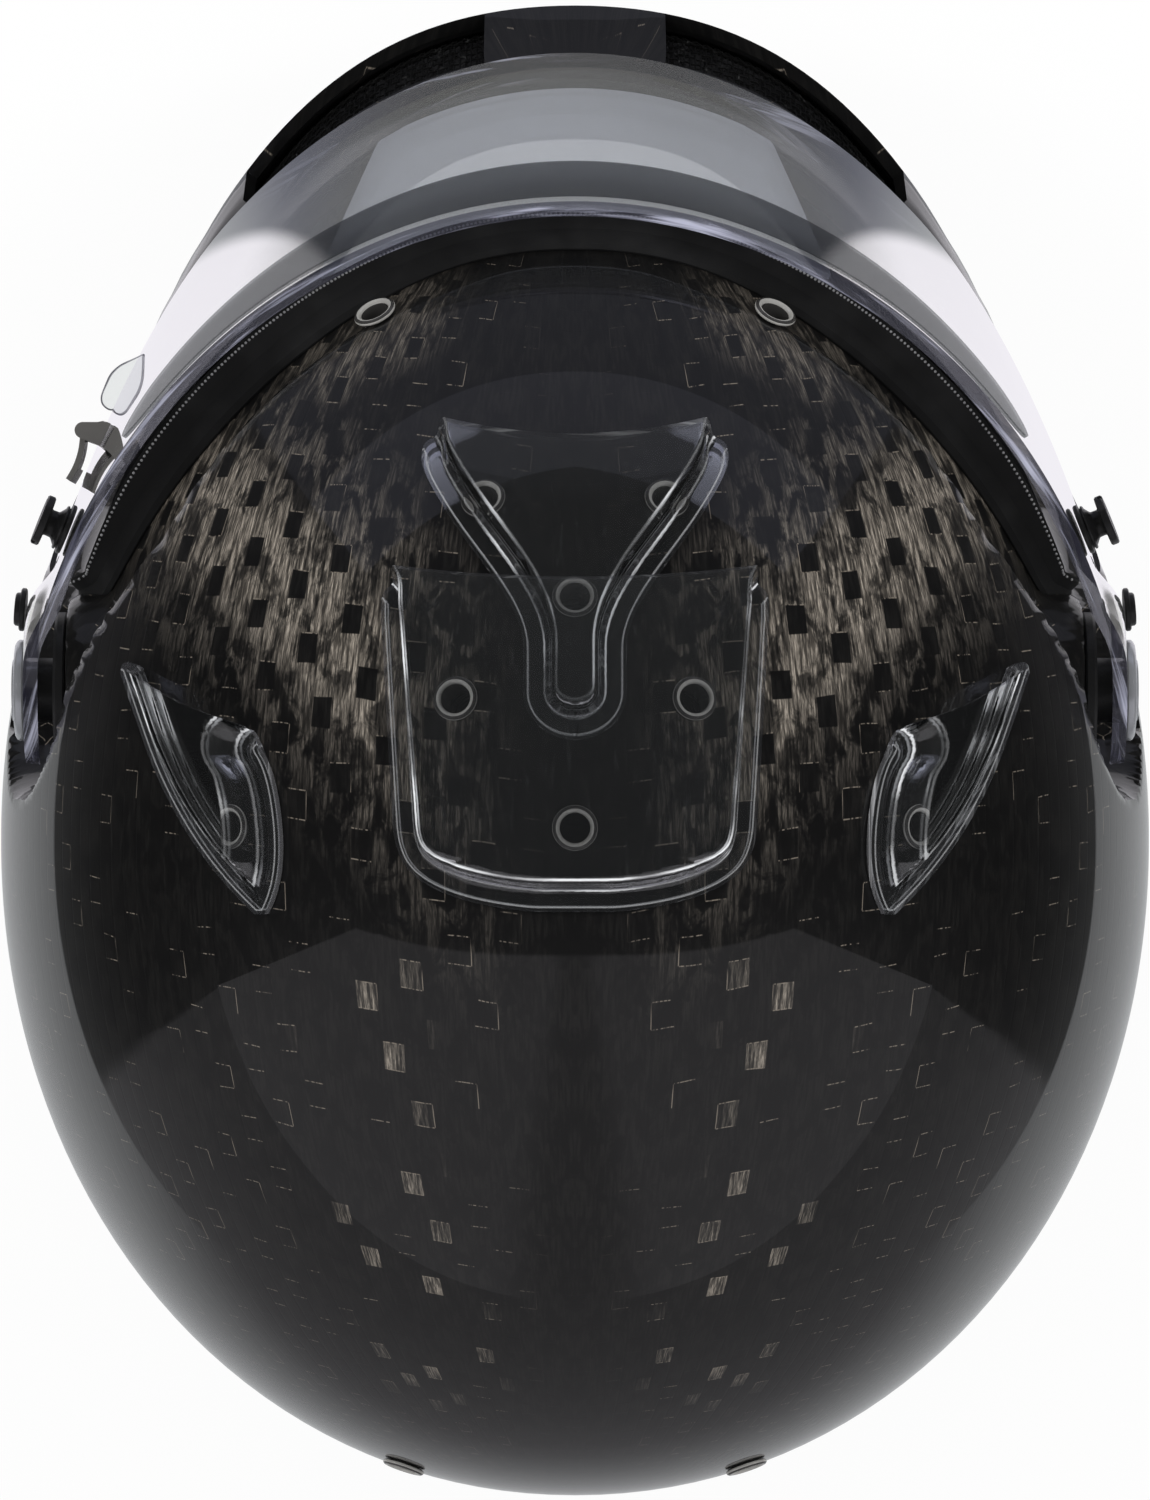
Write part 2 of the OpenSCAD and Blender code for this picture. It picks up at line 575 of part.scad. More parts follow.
// a fitting drawn along +Z, laid on the visor's face at pivot height, sunk by a depth
module on_visor(s, y, sunk = 0) {
    aim([s * visor_x(y, pivot_z), y, pivot_z] - sunk * visor_dir(s, y), visor_dir(s, y)) children();
}

module visor() {
    grid = function (depth) [for (i = [0:visor_rows]) [for (j = [0:visor_cols]) let (a = visor_angle(j))
        visor_point(a, mix(visor_low_at(a), visor_top_at(a), i / visor_rows), depth)]];
    color([0.8, 0.85, 0.88, 0.35]) difference() {
        sheet(grid(0), grid(visor_t));
        for (s = [-1, 1]) {
            on_side(s, arm_x - 8, pivot_y, pivot_z) cylinder(r = pivot_bore_r, h = 14);
            on_visor(s, post_y, 8) cylinder(r = post_stem_r + 0.1, h = 14);
            on_visor(s, button_y, 8) cylinder(r = button_stem_r + 0.1, h = 14);
        }
    }
}

insert_low = visor_low_z + 15;
insert_high = visor_top_z - 9;
insert_low_a = 21;      // half angles of its lower and upper edge
insert_high_a = 28;
fog_t = 1.3;
module anti_fog_insert() {
    rows = 4;
    count = 12;
    grid = function (depth) [for (i = [0:rows]) [for (j = [0:count])
        visor_point((2 * j / count - 1) * mix(insert_low_a, insert_high_a, i / rows),
                    mix(insert_low, insert_high, i / rows), depth)]];
    color([0.6, 0.65, 0.72, 0.4]) sheet(grid(visor_t + gap), grid(visor_t + gap + fog_t));
}

strip_h = 24;
strip_t = 0.3;
strip_drop = 3;         // its upper edge lies this far under the visor's
strip_gap = 0.12;
module sun_strip() {
    from = 8;
    to = visor_cols - from;
    grid = function (depth) [for (i = [0:2]) [for (j = [from:to]) let (
            a = visor_angle(j),
            high = strip_h * mix(1, 0.5, pow(abs(a) / visor_end, 3))
        )
        visor_point(a, visor_top_at(a) - strip_drop - high * (1 - i / 2), depth)]];
    color([0.2, 0.2, 0.22, 0.6]) sheet(grid(-strip_gap - strip_t), grid(-strip_gap));
}

tab_a = 52.5;
tab_off = 1;         // the tab's foot stands this far off the leaning face
tab_rise = 5;        // and this far over the visor's lower edge
module opening_tab() {
    p = visor_point(tab_a, visor_low(tab_a) + tab_rise, 0);
    turn = atan2(-cos(tab_a) / visor_low_reach, sin(tab_a) / visor_low_w);
    color([0.85, 0.9, 0.92, 0.4]) translate(p) rotate([0, 0, turn]) union() {
        translate([tab_off, -6, -4]) cube([1.2, 12, 8]);
        hull() {
            translate([tab_off + 0.7, -5.5, -1.2]) cube([0.4, 11, 2.4]);
            for (side = [-1, 1]) translate([3.2, side * 3.5, -1.2]) cylinder(r = 2, h = 2.4, $fn = 32);
        }
    }
}

post_base_h = 1.2;
post_step_h = 0.9;
post_cone_h = 0.9;
post_disc_h = 1.8;
face_gap = 0.3;      // fittings sit this far off the visor's curved face
module tear_off_posts() {
    cone_z = post_base_h + post_step_h;
    neck_z = cone_z + post_cone_h;
    color([0.04, 0.04, 0.04]) for (s = [-1, 1]) on_visor(s, post_y, -face_gap) union() {
        translate([0, 0, -visor_t]) cylinder(r = post_stem_r, h = visor_t + 1);
        cylinder(r = post_disc_r, h = post_base_h);
        cylinder(r = post_disc_r - 0.7, h = cone_z);
        translate([0, 0, cone_z]) cylinder(r1 = post_neck_r + 1.5, r2 = post_neck_r, h = post_cone_h);
        cylinder(r = post_neck_r, h = neck_z + post_neck_l + 1);
        translate([0, 0, neck_z + post_neck_l]) cylinder(r = post_disc_r, h = post_disc_h);
    }
}

button_r = 4.7;
button_base_h = 1.2;
button_h = 2.4;
module visor_buttons() {
    color([0.05, 0.05, 0.05]) for (s = [-1, 1]) on_visor(s, button_y, -face_gap) union() {
        translate([0, 0, -visor_t]) cylinder(r = button_stem_r, h = visor_t + 1);
        cylinder(r = button_r, h = button_base_h);
        cylinder(r = button_r - 1.1, h = button_h);
    }
}

// ---------- pivots ----------
boss_r = pivot_bore_r - 0.06;
screw_r = 3;
screw_head_r = 11;
module pivot_plate(s) {
    color([0.05, 0.05, 0.05]) difference() {
        union() {
            on_side(s, plate_x, pivot_y, pivot_z) cylinder(r = plate_r, h = plate_t);
            on_side(s, plate_x, pivot_y, pivot_z) cylinder(r = boss_r, h = arm_x + 0.2 - plate_x);
        }
        on_side(s, plate_x - 1, pivot_y, pivot_z) cylinder(r = screw_r + 0.05, h = 20);
    }
}

screw_head_h = 3;
module pivot_screw(s) {
    color([0.5, 0.52, 0.55]) difference() {
        union() {
            on_side(s, arm_x + 0.3, pivot_y, pivot_z) cylinder(r = screw_head_r, h = screw_head_h);
            on_side(s, plate_x + 1, pivot_y, pivot_z) cylinder(r = screw_r, h = arm_x + 0.4 - plate_x);
        }
        on_side(s, arm_x + 2, pivot_y, pivot_z) cylinder(r = screw_head_r - 2, h = 4);
        on_side(s, arm_x + 1.2, pivot_y, pivot_z) translate([-7, -1, 0]) cube([14, 2, 4]);
    }
}

// ---------- visor lock: bracket, pin and lever on the visor, stud on the shell ----------
lock_y = pivot_y - 55.5;
lock_low = pivot_z - 37;
lock_high = pivot_z - 25;
lock_ear_t = 2;
lock_play = 0.2;         // end play between the lever and the bracket's ears
lock_pin_r = 0.8;
lock_barrel_r = 1.8;
lock_off = 4.4;          // the hinge pin's distance from the visor's face
lock_blade_t = 1.2;
lock_blade_r = 17;       // the blade curves in towards the visor on this radius
lock_blade_x = -1.4;     // where the blade runs parallel to the visor
lock_blade_y = 8.5;
lock_finger_low = lock_low - 9;   // the finger reaches down over the stud
lock_mid = (lock_low + lock_high) / 2;
lock_dir = visor_dir(1, lock_y, lock_mid);
lock_turn = atan2(lock_dir.y, lock_dir.x);
lock_at = [visor_x(lock_y, lock_mid), lock_y] + lock_off * [cos(lock_turn), sin(lock_turn)];
// the hinge pin's own frame: +X points outwards, +Y rearwards along the visor
module at_lock(z) {
    translate([lock_at.x, lock_at.y, z]) rotate([0, 0, lock_turn]) children();
}
function lock_face(z) = (visor_x(lock_y, z) - visor_x(lock_y, lock_mid)) * cos(lock_turn) - lock_off + gap;
module lock_bracket() {
    foot_t = 0.8;
    low = lock_low - lock_ear_t - lock_play;
    high = lock_high + lock_play;
    color([0.55, 0.56, 0.58]) union() {
        for (z = [low, high]) difference() {
            hull() {
                at_lock(z) cylinder(r = lock_barrel_r, h = lock_ear_t, $fn = 32);
                at_lock(z) translate([lock_face(z), -4, 0]) cube([foot_t, 5.5, lock_ear_t]);
            }
            at_lock(z - 1) cylinder(r = lock_pin_r, h = lock_ear_t + 2);
        }
        hull() for (z = [low, high])
            at_lock(z) translate([lock_face(z), -4, 0]) cube([foot_t, 5.5, lock_ear_t]);
    }
}
module lock_pin() {
    reach = lock_ear_t + lock_play;
    color([0.7, 0.7, 0.72]) at_lock(lock_low - reach)
        cylinder(r = lock_pin_r, h = lock_high - lock_low + 2 * reach);
}
module lock_lever() {
    // an arc of the blade's radius between two angles, from the height low up to high
    module blade(from, to, low, high) {
        at_lock(low) translate([lock_blade_x + lock_blade_r, lock_blade_y, 0]) rotate([0, 0, from])
            rotate_extrude(angle = to - from) translate([lock_blade_r, 0]) square([lock_blade_t, high - low]);
    }
    color([0.62, 0.63, 0.65]) difference() {
        union() {
            at_lock(lock_low) cylinder(r = lock_barrel_r, h = lock_high - lock_low);
            blade(171, 209, lock_low, lock_high);
            blade(171, 182, lock_finger_low, lock_low + 1);
        }
        at_lock(lock_low - 1) cylinder(r = lock_pin_r + 0.05, h = lock_high - lock_low + 2);
    }
}
stud_head_r = stud_r + 1;
stud_head_t = 1.6;
stud_out = 5.6;          // the outer head's distance from the recess
stud_in = 4.6;           // the inner head's
module lock_stud() {
    x = side_x(stud_y, stud_z) - recess_depth;
    color([0.5, 0.5, 0.52]) union() {
        on_side(1, x - stud_in - 0.4, stud_y, stud_z) cylinder(r = stud_r, h = stud_in + stud_out + 0.8);
        on_side(1, x + stud_out, stud_y, stud_z) cylinder(r = stud_head_r, h = stud_head_t);
        on_side(1, x - stud_in - stud_head_t, stud_y, stud_z) cylinder(r = stud_head_r, h = stud_head_t);
    }
}

// ---------- clear air scoops ----------
scoop_rise = 3;      // run of the duct's side wall
scoop_end_rise = 6;
scoop_rows = 14;
scoop_ends = [0, scoop_flange, scoop_flange + scoop_rise / 2, scoop_flange + scoop_rise];
// edge_a(t), edge_b(t): the two side edges in plan from the mouth (t = 0) to the closed end;
// bow(u): how the mouth's edge leaves the straight line; high(t): the duct's height
module scoop(edge_a, edge_b, bow, high, len) {
    knots = function (wide) let (
            fit = min(1, wide / (2.4 * (scoop_flange + scoop_rise))),
            near = [for (d = scoop_ends) d * fit / wide],
            inner = near[3]
        )
        concat(near, [mix(inner, 0.5, 0.5), 0.5, mix(1 - inner, 0.5, 0.5)], [for (k = [3:-1:0]) 1 - near[k]]);
    shape = [0, 0, 0.6, 1, 1, 1, 1, 1, 0.6, 0, 0];
    grid = function (lift) [for (i = [0:scoop_rows]) let (
            t = 1 - pow(1 - i / scoop_rows, 1.6),
            a = edge_a(t), b = edge_b(t),
            k = knots(norm(a - b)),
            close = ease(unit_of(((1 - t) * len - scoop_flange) / scoop_end_rise))
        )
        [for (j = [0:len(k) - 1]) let (p = mix(b, a, k[j]) + bow(k[j]) * pow(1 - t, 2))
            dome_point(p.x, p.y, gap + lift + high(t) * close * shape[j])]];
    sheet(grid(scoop_t), grid(0));
}

front_scoop_y = [-60, -2];
front_scoop_w = [31.5, 10.5];
front_scoop_bow = 5.5;      // how far the mouth's edge bows in its middle
function front_scoop_half(y) = let (
        w = mix(front_scoop_w[0], front_scoop_w[1], ease(unit_of((y + 58) / 38))),
        over = unit_of((y + 11.5) / 9.5)
    )
    max(1, w * sqrt(1 - over * over));
module front_scoop() {
    edge = function (s, t) let (y = mix(front_scoop_y[0], front_scoop_y[1], t)) [s * front_scoop_half(y), y];
    color([0.85, 0.9, 0.92, 0.3]) scoop(
        function (t) edge(1, t), function (t) edge(-1, t),
        function (u) [0, -front_scoop_bow * pow(2 * u - 1, 2)],
        function (t) mix(front_scoop_h, 0.6 * front_scoop_h, unit_of(t * 2)),
        front_scoop_y[1] - front_scoop_y[0]);
}

rear_scoop_y = [-31, 33];
rear_scoop_bow = 3.5;
module rear_scoop() {
    half = function (y) let (over = unit_of((y - 14) / 19.3)) mix(39.5, 36.5, unit_of((y + 25) / 46))
        * sqrt(max(0.001, 1 - pow(over, 3.2)));
    edge = function (s, t) let (y = mix(rear_scoop_y[0], rear_scoop_y[1], t)) [s * max(2, half(y)), y];
    color([0.85, 0.9, 0.92, 0.3]) scoop(
        function (t) edge(1, t), function (t) edge(-1, t),
        function (u) [0, -rear_scoop_bow * pow(2 * u - 1, 2)],
        function (t) mix(rear_scoop_h + 3, rear_scoop_h - 1, unit_of(t * 1.5)),
        rear_scoop_y[1] - rear_scoop_y[0]);
}

function curve(a, b, c, t) = pow(1 - t, 2) * a + 2 * t * (1 - t) * b + t * t * c;
// the side scoops keep their distance from the shell's side
side_tip = [shell_w / 2 - 32.5, -20.5];
side_out = [shell_w / 2 - 39.5, 14];
side_root = [shell_w / 2 - 62.5, -4.5];
side_in = [shell_w / 2 - 71, 22];
side_end = [shell_w / 2 - 63, 34];
side_scoop_bow = 10;
side_scoop_l = 46;
module side_scoop(s) {
    flip = function (p) [s * p.x, p.y];
    color([0.85, 0.9, 0.92, 0.3]) scoop(
        s > 0 ? function (t) flip(curve(side_tip, side_out, side_end + [1, 0], t))
              : function (t) flip(curve(side_root, side_in, side_end - [1, 0], t)),
        s > 0 ? function (t) flip(curve(side_root, side_in, side_end - [1, 0], t))
              : function (t) flip(curve(side_tip, side_out, side_end + [1, 0], t)),
        function (u) [0, side_scoop_bow * u * (1 - u)],
        function (t) side_scoop_h, side_scoop_l);
}

// ---------- vent eyelets ----------
module eyelet(p) {
    aim(dome_point(p.x, p.y, 0.1), dome_normal(p.x, p.y)) rotate_extrude() polygon([
        [eyelet_bore_r, -barrel_l], [barrel_r, -barrel_l], [barrel_r, 0], [eyelet_flange_r, 0],
        [eyelet_flange_r, 0.4], [eyelet_flange_r - 0.5, 1], [eyelet_bore_r + 0.5, 1], [eyelet_bore_r, 0.5]]);
}
module eyelets(places) {
    color([0.3, 0.3, 0.31]) for (p = places) eyelet(p);
}

// ---------- chin vents ----------
mesh_bars = 13;
mesh_gap = 1.8;         // distance from the laminate
mesh_t = 0.8;
module chin_vent_mesh(s) {
    rows = 7;
    count = 2 * mesh_bars;
    from = vent_from * col_step - 1.5;
    to = vent_to * col_step + 1.5;
    low = vent_z(vent_row) - 4;
    high = vent_z(vent_row + 1) + 1;
    grid = function (depth) [for (i = [0:rows]) [for (j = [0:count])
        skin(s * mix(from, to, s > 0 ? j / count : 1 - j / count), v_of_z(mix(low, high, i / rows)), depth)]];
    color([0.1, 0.1, 0.1]) sheet(grid(shell_t + mesh_gap), grid(shell_t + mesh_gap + mesh_t), false, false,
        function (i, j) i % 2 == 0 || j % 2 == 0);
}

// ---------- head-restraint inserts ----------
insert_rim = 1;         // thickness of the rim and its distance from the laminate
insert_out = 1.6;
module restraint_inserts() {
    top = side_x(insert_y, insert_z) + insert_out + insert_rim;
    color([0.75, 0.75, 0.76]) for (s = [-1, 1]) difference() {
        union() {
            on_side(s, top - insert_l, insert_y, insert_z) cylinder(r = insert_r, h = insert_l - insert_rim);
            on_side(s, top - insert_rim, insert_y, insert_z) cylinder(r = insert_r + 1.5, h = insert_rim);
        }
        on_side(s, side_x(insert_y, insert_z) - 20, insert_y, insert_z) cylinder(r = insert_thread_r, h = 40);
    }
}

// ---------- chin strap ----------
anchor_x = side_x(rivet_y, rivet_z) - shell_t - 5.2;
anchor_t = 1.6;
module strap_anchors() {
    color([0.72, 0.72, 0.74]) for (s = [-1, 1]) difference() {
        on_side(s, anchor_x, rivet_y, rivet_z) translate([-10, -11, 0]) cube([20, 22, anchor_t]);
        on_side(s, anchor_x - 5, rivet_y, rivet_z) cylinder(r = rivet_r + 0.1, h = 10);
    }
}
module strap_rivets() {
    head_h = 1.4;
    inner = anchor_x - strap_t - 0.6;             // inner head's outer face
    outer = side_x(rivet_y, rivet_z) + 0.8;       // outer head's inner face
    color([0.3, 0.3, 0.3]) for (s = [-1, 1]) union() {
        on_side(s, inner - head_h, rivet_y, rivet_z) cylinder(r = rivet_r, h = outer - inner + 2 * head_h);
        on_side(s, outer, rivet_y, rivet_z) cylinder(r = 2 * rivet_r, h = head_h);
        on_side(s, inner - head_h, rivet_y, rivet_z) cylinder(r = 2 * rivet_r - 0.5, h = head_h);
    }
}

// the webbing's middle line from its rivet to its free end, in X and Z
loop_x = 52;
loop_z = 21;
strap_root = anchor_x - strap_t / 2 - 0.5;
left_route = [[strap_root, 56], [strap_root, 38], [strap_root - 3, 27], [96, 19], [80, 15.5], [66, 17],
    [loop_x + 5, loop_z]];
right_route = [[strap_root, 56], [strap_root, 38], [strap_root - 3, 27], [96, 19], [72, 14], [36, 12],
    [8, 12], [-12, 12]];
function spline(q, t) = let (
        n = len(q) - 1, k = min(n - 1, floor(t * n)), f = t * n - k,
        a = q[max(0, k - 1)], b = q[k], c = q[k + 1], d = q[min(n, k + 2)]
    )
    b + 0.5 * f * (c - a + f * (2 * a - 5 * b + 4 * c - d + f * (3 * (b - c) + d - a)));
module webbing(s, route) {
    steps = 4 * (len(route) - 1);
    rings = [for (i = [0:steps]) let (
            p = spline(route, i / steps),
            d = unit(spline(route, min(1, (i + 0.5) / steps)) - spline(route, max(0, (i - 0.5) / steps))),
            n = [-d.y, d.x] * strap_t / 2
        )
        [for (q = [[p + n, -1], [p - n, -1], [p - n, 1], [p + n, 1]])
            [s * q[0].x, q[1] * strap_w / 2, q[0].y]]];
    tube(s > 0 ? rings : [for (r = rings) [for (k = [3:-1:0]) r[k]]]);
}
loop_pitch = 5.5;
loop_bore_r = ring_wire_r + 0.06;
module chin_strap_left() {
    color([0.12, 0.12, 0.13]) difference() {
        union() {
            webbing(1, left_route);
            for (k = [0, 1]) translate([loop_x - k * loop_pitch, 0, loop_z]) rotate([90, 0, 0])
                cylinder(r = loop_bore_r + strap_t, h = strap_w, center = true);
        }
        for (k = [0, 1]) translate([loop_x - k * loop_pitch, 0, loop_z]) rotate([90, 0, 0])
            cylinder(r = loop_bore_r, h = strap_w + 4, center = true);
        on_side(1, anchor_x - 8, rivet_y, rivet_z) cylinder(r = rivet_r + 0.1, h = 20);
    }
}
module chin_strap_right() {
    color([0.12, 0.12, 0.13]) difference() {
        webbing(-1, right_route);
        on_side(-1, anchor_x - 8, rivet_y, rivet_z) cylinder(r = rivet_r + 0.1, h = 20);
    }
}
module strap_snap() {
    color([0.1, 0.1, 0.1]) translate([4, 0, 12 + strap_t / 2 + 0.1]) union() {
        cylinder(r = 6, h = 1);
        cylinder(r = 3, h = 2.6);
    }
}
ring_r = 15.5;
module d_ring(k) {
    color([0.75, 0.76, 0.78]) translate([loop_x - k * loop_pitch, 0, loop_z]) union() {
        rotate([90, 0, 0]) cylinder(r = ring_wire_r, h = 2 * ring_r, center = true);
        rotate([0, 90, 0]) rotate([0, 0, -90]) rotate_extrude(angle = 180)
            translate([ring_r, 0]) circle(r = ring_wire_r, $fn = 32);
        for (side = [-1, 1]) translate([0, side * ring_r, 0]) sphere(r = ring_wire_r, $fn = 32);
    }
}

outer_shell();
impact_liner();
chin_bar_liner();
crown_pad();
cheek_pad(1);  // cheek_pad_left
cheek_pad(-1);  // cheek_pad_right
neck_roll();
eyeport_gasket();
bottom_trim();
visor();
anti_fog_insert();
sun_strip();
opening_tab();
tear_off_posts();
pivot_plate(1);  // pivot_plate_left
pivot_plate(-1);  // pivot_plate_right
pivot_screw(1);  // pivot_screw_left
pivot_screw(-1);  // pivot_screw_right
visor_buttons();
lock_bracket();
lock_lever();
lock_pin();
lock_stud();
front_scoop();
rear_scoop();
side_scoop(1);  // side_scoop_left
side_scoop(-1);  // side_scoop_right
eyelets(brow_vents);  // brow_eyelets
eyelets(front_vents);  // front_scoop_eyelets
eyelets(rear_vents);  // rear_scoop_eyelets
eyelets(side_vents);  // side_scoop_eyelets
eyelets(exhaust_vents);  // exhaust_eyelets
chin_vent_mesh(1);  // chin_vent_mesh_left
chin_vent_mesh(-1);  // chin_vent_mesh_right
restraint_inserts();
strap_anchors();
strap_rivets();
chin_strap_left();
chin_strap_right();
strap_snap();
d_ring(1);  // d_ring_inner
d_ring(0);  // d_ring_outer
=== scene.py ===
# %% [markdown]
# # Full-face racing helmet
# This notebook dresses a helmet that was first built as exact solids. The solids load as a fixed frame in
# metres, with the face along -Y, the crown along +Z and the wearer's left along +X. Each step below makes
# one piece of the real helmet and says why it is made that way.

# %% Load the solids
import json
import math
import bmesh
import bpy
import numpy as np
from mathutils import Matrix, Vector

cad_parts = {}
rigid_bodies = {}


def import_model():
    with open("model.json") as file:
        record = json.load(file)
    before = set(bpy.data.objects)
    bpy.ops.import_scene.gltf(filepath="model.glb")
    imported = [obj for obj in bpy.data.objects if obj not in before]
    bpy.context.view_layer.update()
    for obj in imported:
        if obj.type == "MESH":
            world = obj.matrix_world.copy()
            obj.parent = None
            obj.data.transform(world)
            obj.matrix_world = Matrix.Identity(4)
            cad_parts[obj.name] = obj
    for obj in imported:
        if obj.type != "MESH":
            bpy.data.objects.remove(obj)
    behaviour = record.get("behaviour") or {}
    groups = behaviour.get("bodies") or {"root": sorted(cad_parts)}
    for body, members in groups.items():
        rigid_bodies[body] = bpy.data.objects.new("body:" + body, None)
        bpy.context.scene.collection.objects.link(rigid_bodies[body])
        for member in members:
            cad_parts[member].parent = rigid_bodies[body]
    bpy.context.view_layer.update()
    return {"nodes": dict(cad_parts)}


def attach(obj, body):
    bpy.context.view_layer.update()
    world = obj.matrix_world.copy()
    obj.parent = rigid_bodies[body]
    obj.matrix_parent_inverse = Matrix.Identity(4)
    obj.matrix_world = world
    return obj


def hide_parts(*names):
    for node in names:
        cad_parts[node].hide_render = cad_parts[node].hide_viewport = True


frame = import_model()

# %% [markdown]
# ## Small number helpers
# All shapes are worked out as whole numpy arrays in millimetres, because a helmet maker's drawing is in
# millimetres. Only the last step, where an array becomes a mesh, turns them into metres.

# %% Number helpers
def mix(a, b, t):
    """The value a share t of the way from a to b."""
    return a + (b - a) * t

def clip(t):
    """A value held between 0 and 1."""
    return np.clip(t, 0.0, 1.0)

def ease(t):
    """Smooth step: three t squared less two t cubed."""
    return t * t * (3 - 2 * t)

def signed_power(x, p):
    """|x| to the power p with the sign of x, which draws a superellipse."""
    return np.sign(x) * np.abs(x) ** p

def unit(v):
    """A vector, or each of many, divided by its length."""
    v = np.asarray(v, float)
    return v / np.linalg.norm(v, axis=-1, keepdims=True)

# %% [markdown]
# ## From arrays to meshes
# A sheet part, such as the shell or the visor, is two skins on one grid with a wall round every edge. A
# turned part, such as a screw, is a profile carried round an axis. Both give quads, and both are closed.
# Doubled points, such as those of a pole, are merged, and the sign of the enclosed volume says whether
# the faces already point outwards. Extruding and lathing with Blender's own tools would also work; arrays
# are chosen because one formula then gives both faces and every edge of a piece.

# %% Grids, walls and meshes
def grid_quads(rows, cols, wrap_rows=False, wrap_cols=False):
    """Corner numbers of every cell of a grid, counterclockwise seen from outside."""
    index = np.arange(rows * cols).reshape(rows, cols)
    right = np.roll(index, -1, axis=1)
    up = np.roll(index, -1, axis=0)
    corner = np.roll(right, -1, axis=0)
    quads = np.stack([index, right, corner, up], axis=-1)
    quads = quads if wrap_rows else quads[:-1]
    return quads if wrap_cols else quads[:, :-1]

def thick_sheet(outer, inner, keep=None, wrap=False):
    """Points, quads and kinds of two skins on one grid (kind 0), walled (kind 1) wherever a cell ends."""
    rows, cols = outer.shape[:2]
    quads = grid_quads(rows, cols, wrap_cols=wrap)
    keep = np.ones(quads.shape[:2], bool) if keep is None else keep
    ring = np.pad(keep, 1)
    if wrap:
        ring[1:-1, 0] = keep[:, -1]
        ring[1:-1, -1] = keep[:, 0]
    count = rows * cols
    a, b, c, d = np.moveaxis(quads, -1, 0)
    walls = [(a, b, ring[:-2, 1:-1]), (c, d, ring[2:, 1:-1]), (d, a, ring[1:-1, :-2]), (b, c, ring[1:-1, 2:])]
    faces = [quads[keep], quads[keep][:, ::-1] + count]
    for start, end, neighbour in walls:
        edge = keep & ~neighbour
        faces.append(np.stack([end, start, start + count, end + count], axis=-1)[edge])
    skins = len(faces[0]) + len(faces[1])
    faces = np.concatenate(faces)
    kinds = (np.arange(len(faces)) >= skins).astype(int)
    return np.concatenate([outer.reshape(-1, 3), inner.reshape(-1, 3)]), faces, kinds

def swept(rings, closed=False):
    """Points and quads of a closed section carried along a path; open ends are drawn to their middle."""
    if not closed:
        first = np.repeat(rings[:1].mean(axis=1, keepdims=True), rings.shape[1], axis=1)
        last = np.repeat(rings[-1:].mean(axis=1, keepdims=True), rings.shape[1], axis=1)
        rings = np.concatenate([first, rings, last])
    quads = grid_quads(rings.shape[0], rings.shape[1], wrap_rows=closed, wrap_cols=True).reshape(-1, 4)
    return rings.reshape(-1, 3), quads, np.zeros(len(quads), int)

def turned(profile, sides=64, ring=False):
    """Points and quads of a profile of (radius, height) carried round the Z axis."""
    profile = np.asarray(profile, float)
    angle = np.linspace(0, 2 * np.pi, sides, endpoint=False)
    points = np.stack([profile[:, :1] * np.cos(angle), profile[:, :1] * np.sin(angle),
                       np.repeat(profile[:, 1:], sides, axis=1)], axis=-1)
    quads = grid_quads(len(profile), sides, wrap_rows=ring, wrap_cols=True).reshape(-1, 4)
    return points.reshape(-1, 3), quads, np.zeros(len(quads), int)

def rounded(corners, radius, steps=4, closed=False):
    """A polyline whose corners are replaced by quadratic curves that start a radius away from them."""
    corners = np.asarray(corners, float)
    before, after = np.roll(corners, 1, axis=0), np.roll(corners, -1, axis=0)
    t = np.linspace(0, 1, steps + 1)[None, :, None]
    reach_in = np.minimum(radius, np.linalg.norm(before - corners, axis=1) * 0.45)[:, None]
    reach_out = np.minimum(radius, np.linalg.norm(after - corners, axis=1) * 0.45)[:, None]
    start = corners + unit(before - corners + 1e-9) * reach_in
    end = corners + unit(after - corners + 1e-9) * reach_out
    curve = (1 - t) ** 2 * start[:, None] + 2 * t * (1 - t) * corners[:, None] + t ** 2 * end[:, None]
    if closed:
        return curve.reshape(-1, corners.shape[1])
    return np.concatenate([corners[:1], curve[1:-1].reshape(-1, corners.shape[1]), corners[-1:]])

def join(parts):
    """One shape from several."""
    points, faces, kinds, count = [], [], [], 0
    for p, f, k in parts:
        points.append(p)
        faces.append(f + count)
        kinds.append(k)
        count += len(p)
    return np.concatenate(points), np.concatenate(faces), np.concatenate(kinds)

def enclosed(points, faces):
    """Signed volume: a sixth of the sum of each triangle's triple product."""
    a, b, c, d = (points[faces[:, k]] for k in range(4))
    return (np.einsum("ij,ij->i", a, np.cross(b, c)) + np.einsum("ij,ij->i", a, np.cross(c, d))).sum() / 6

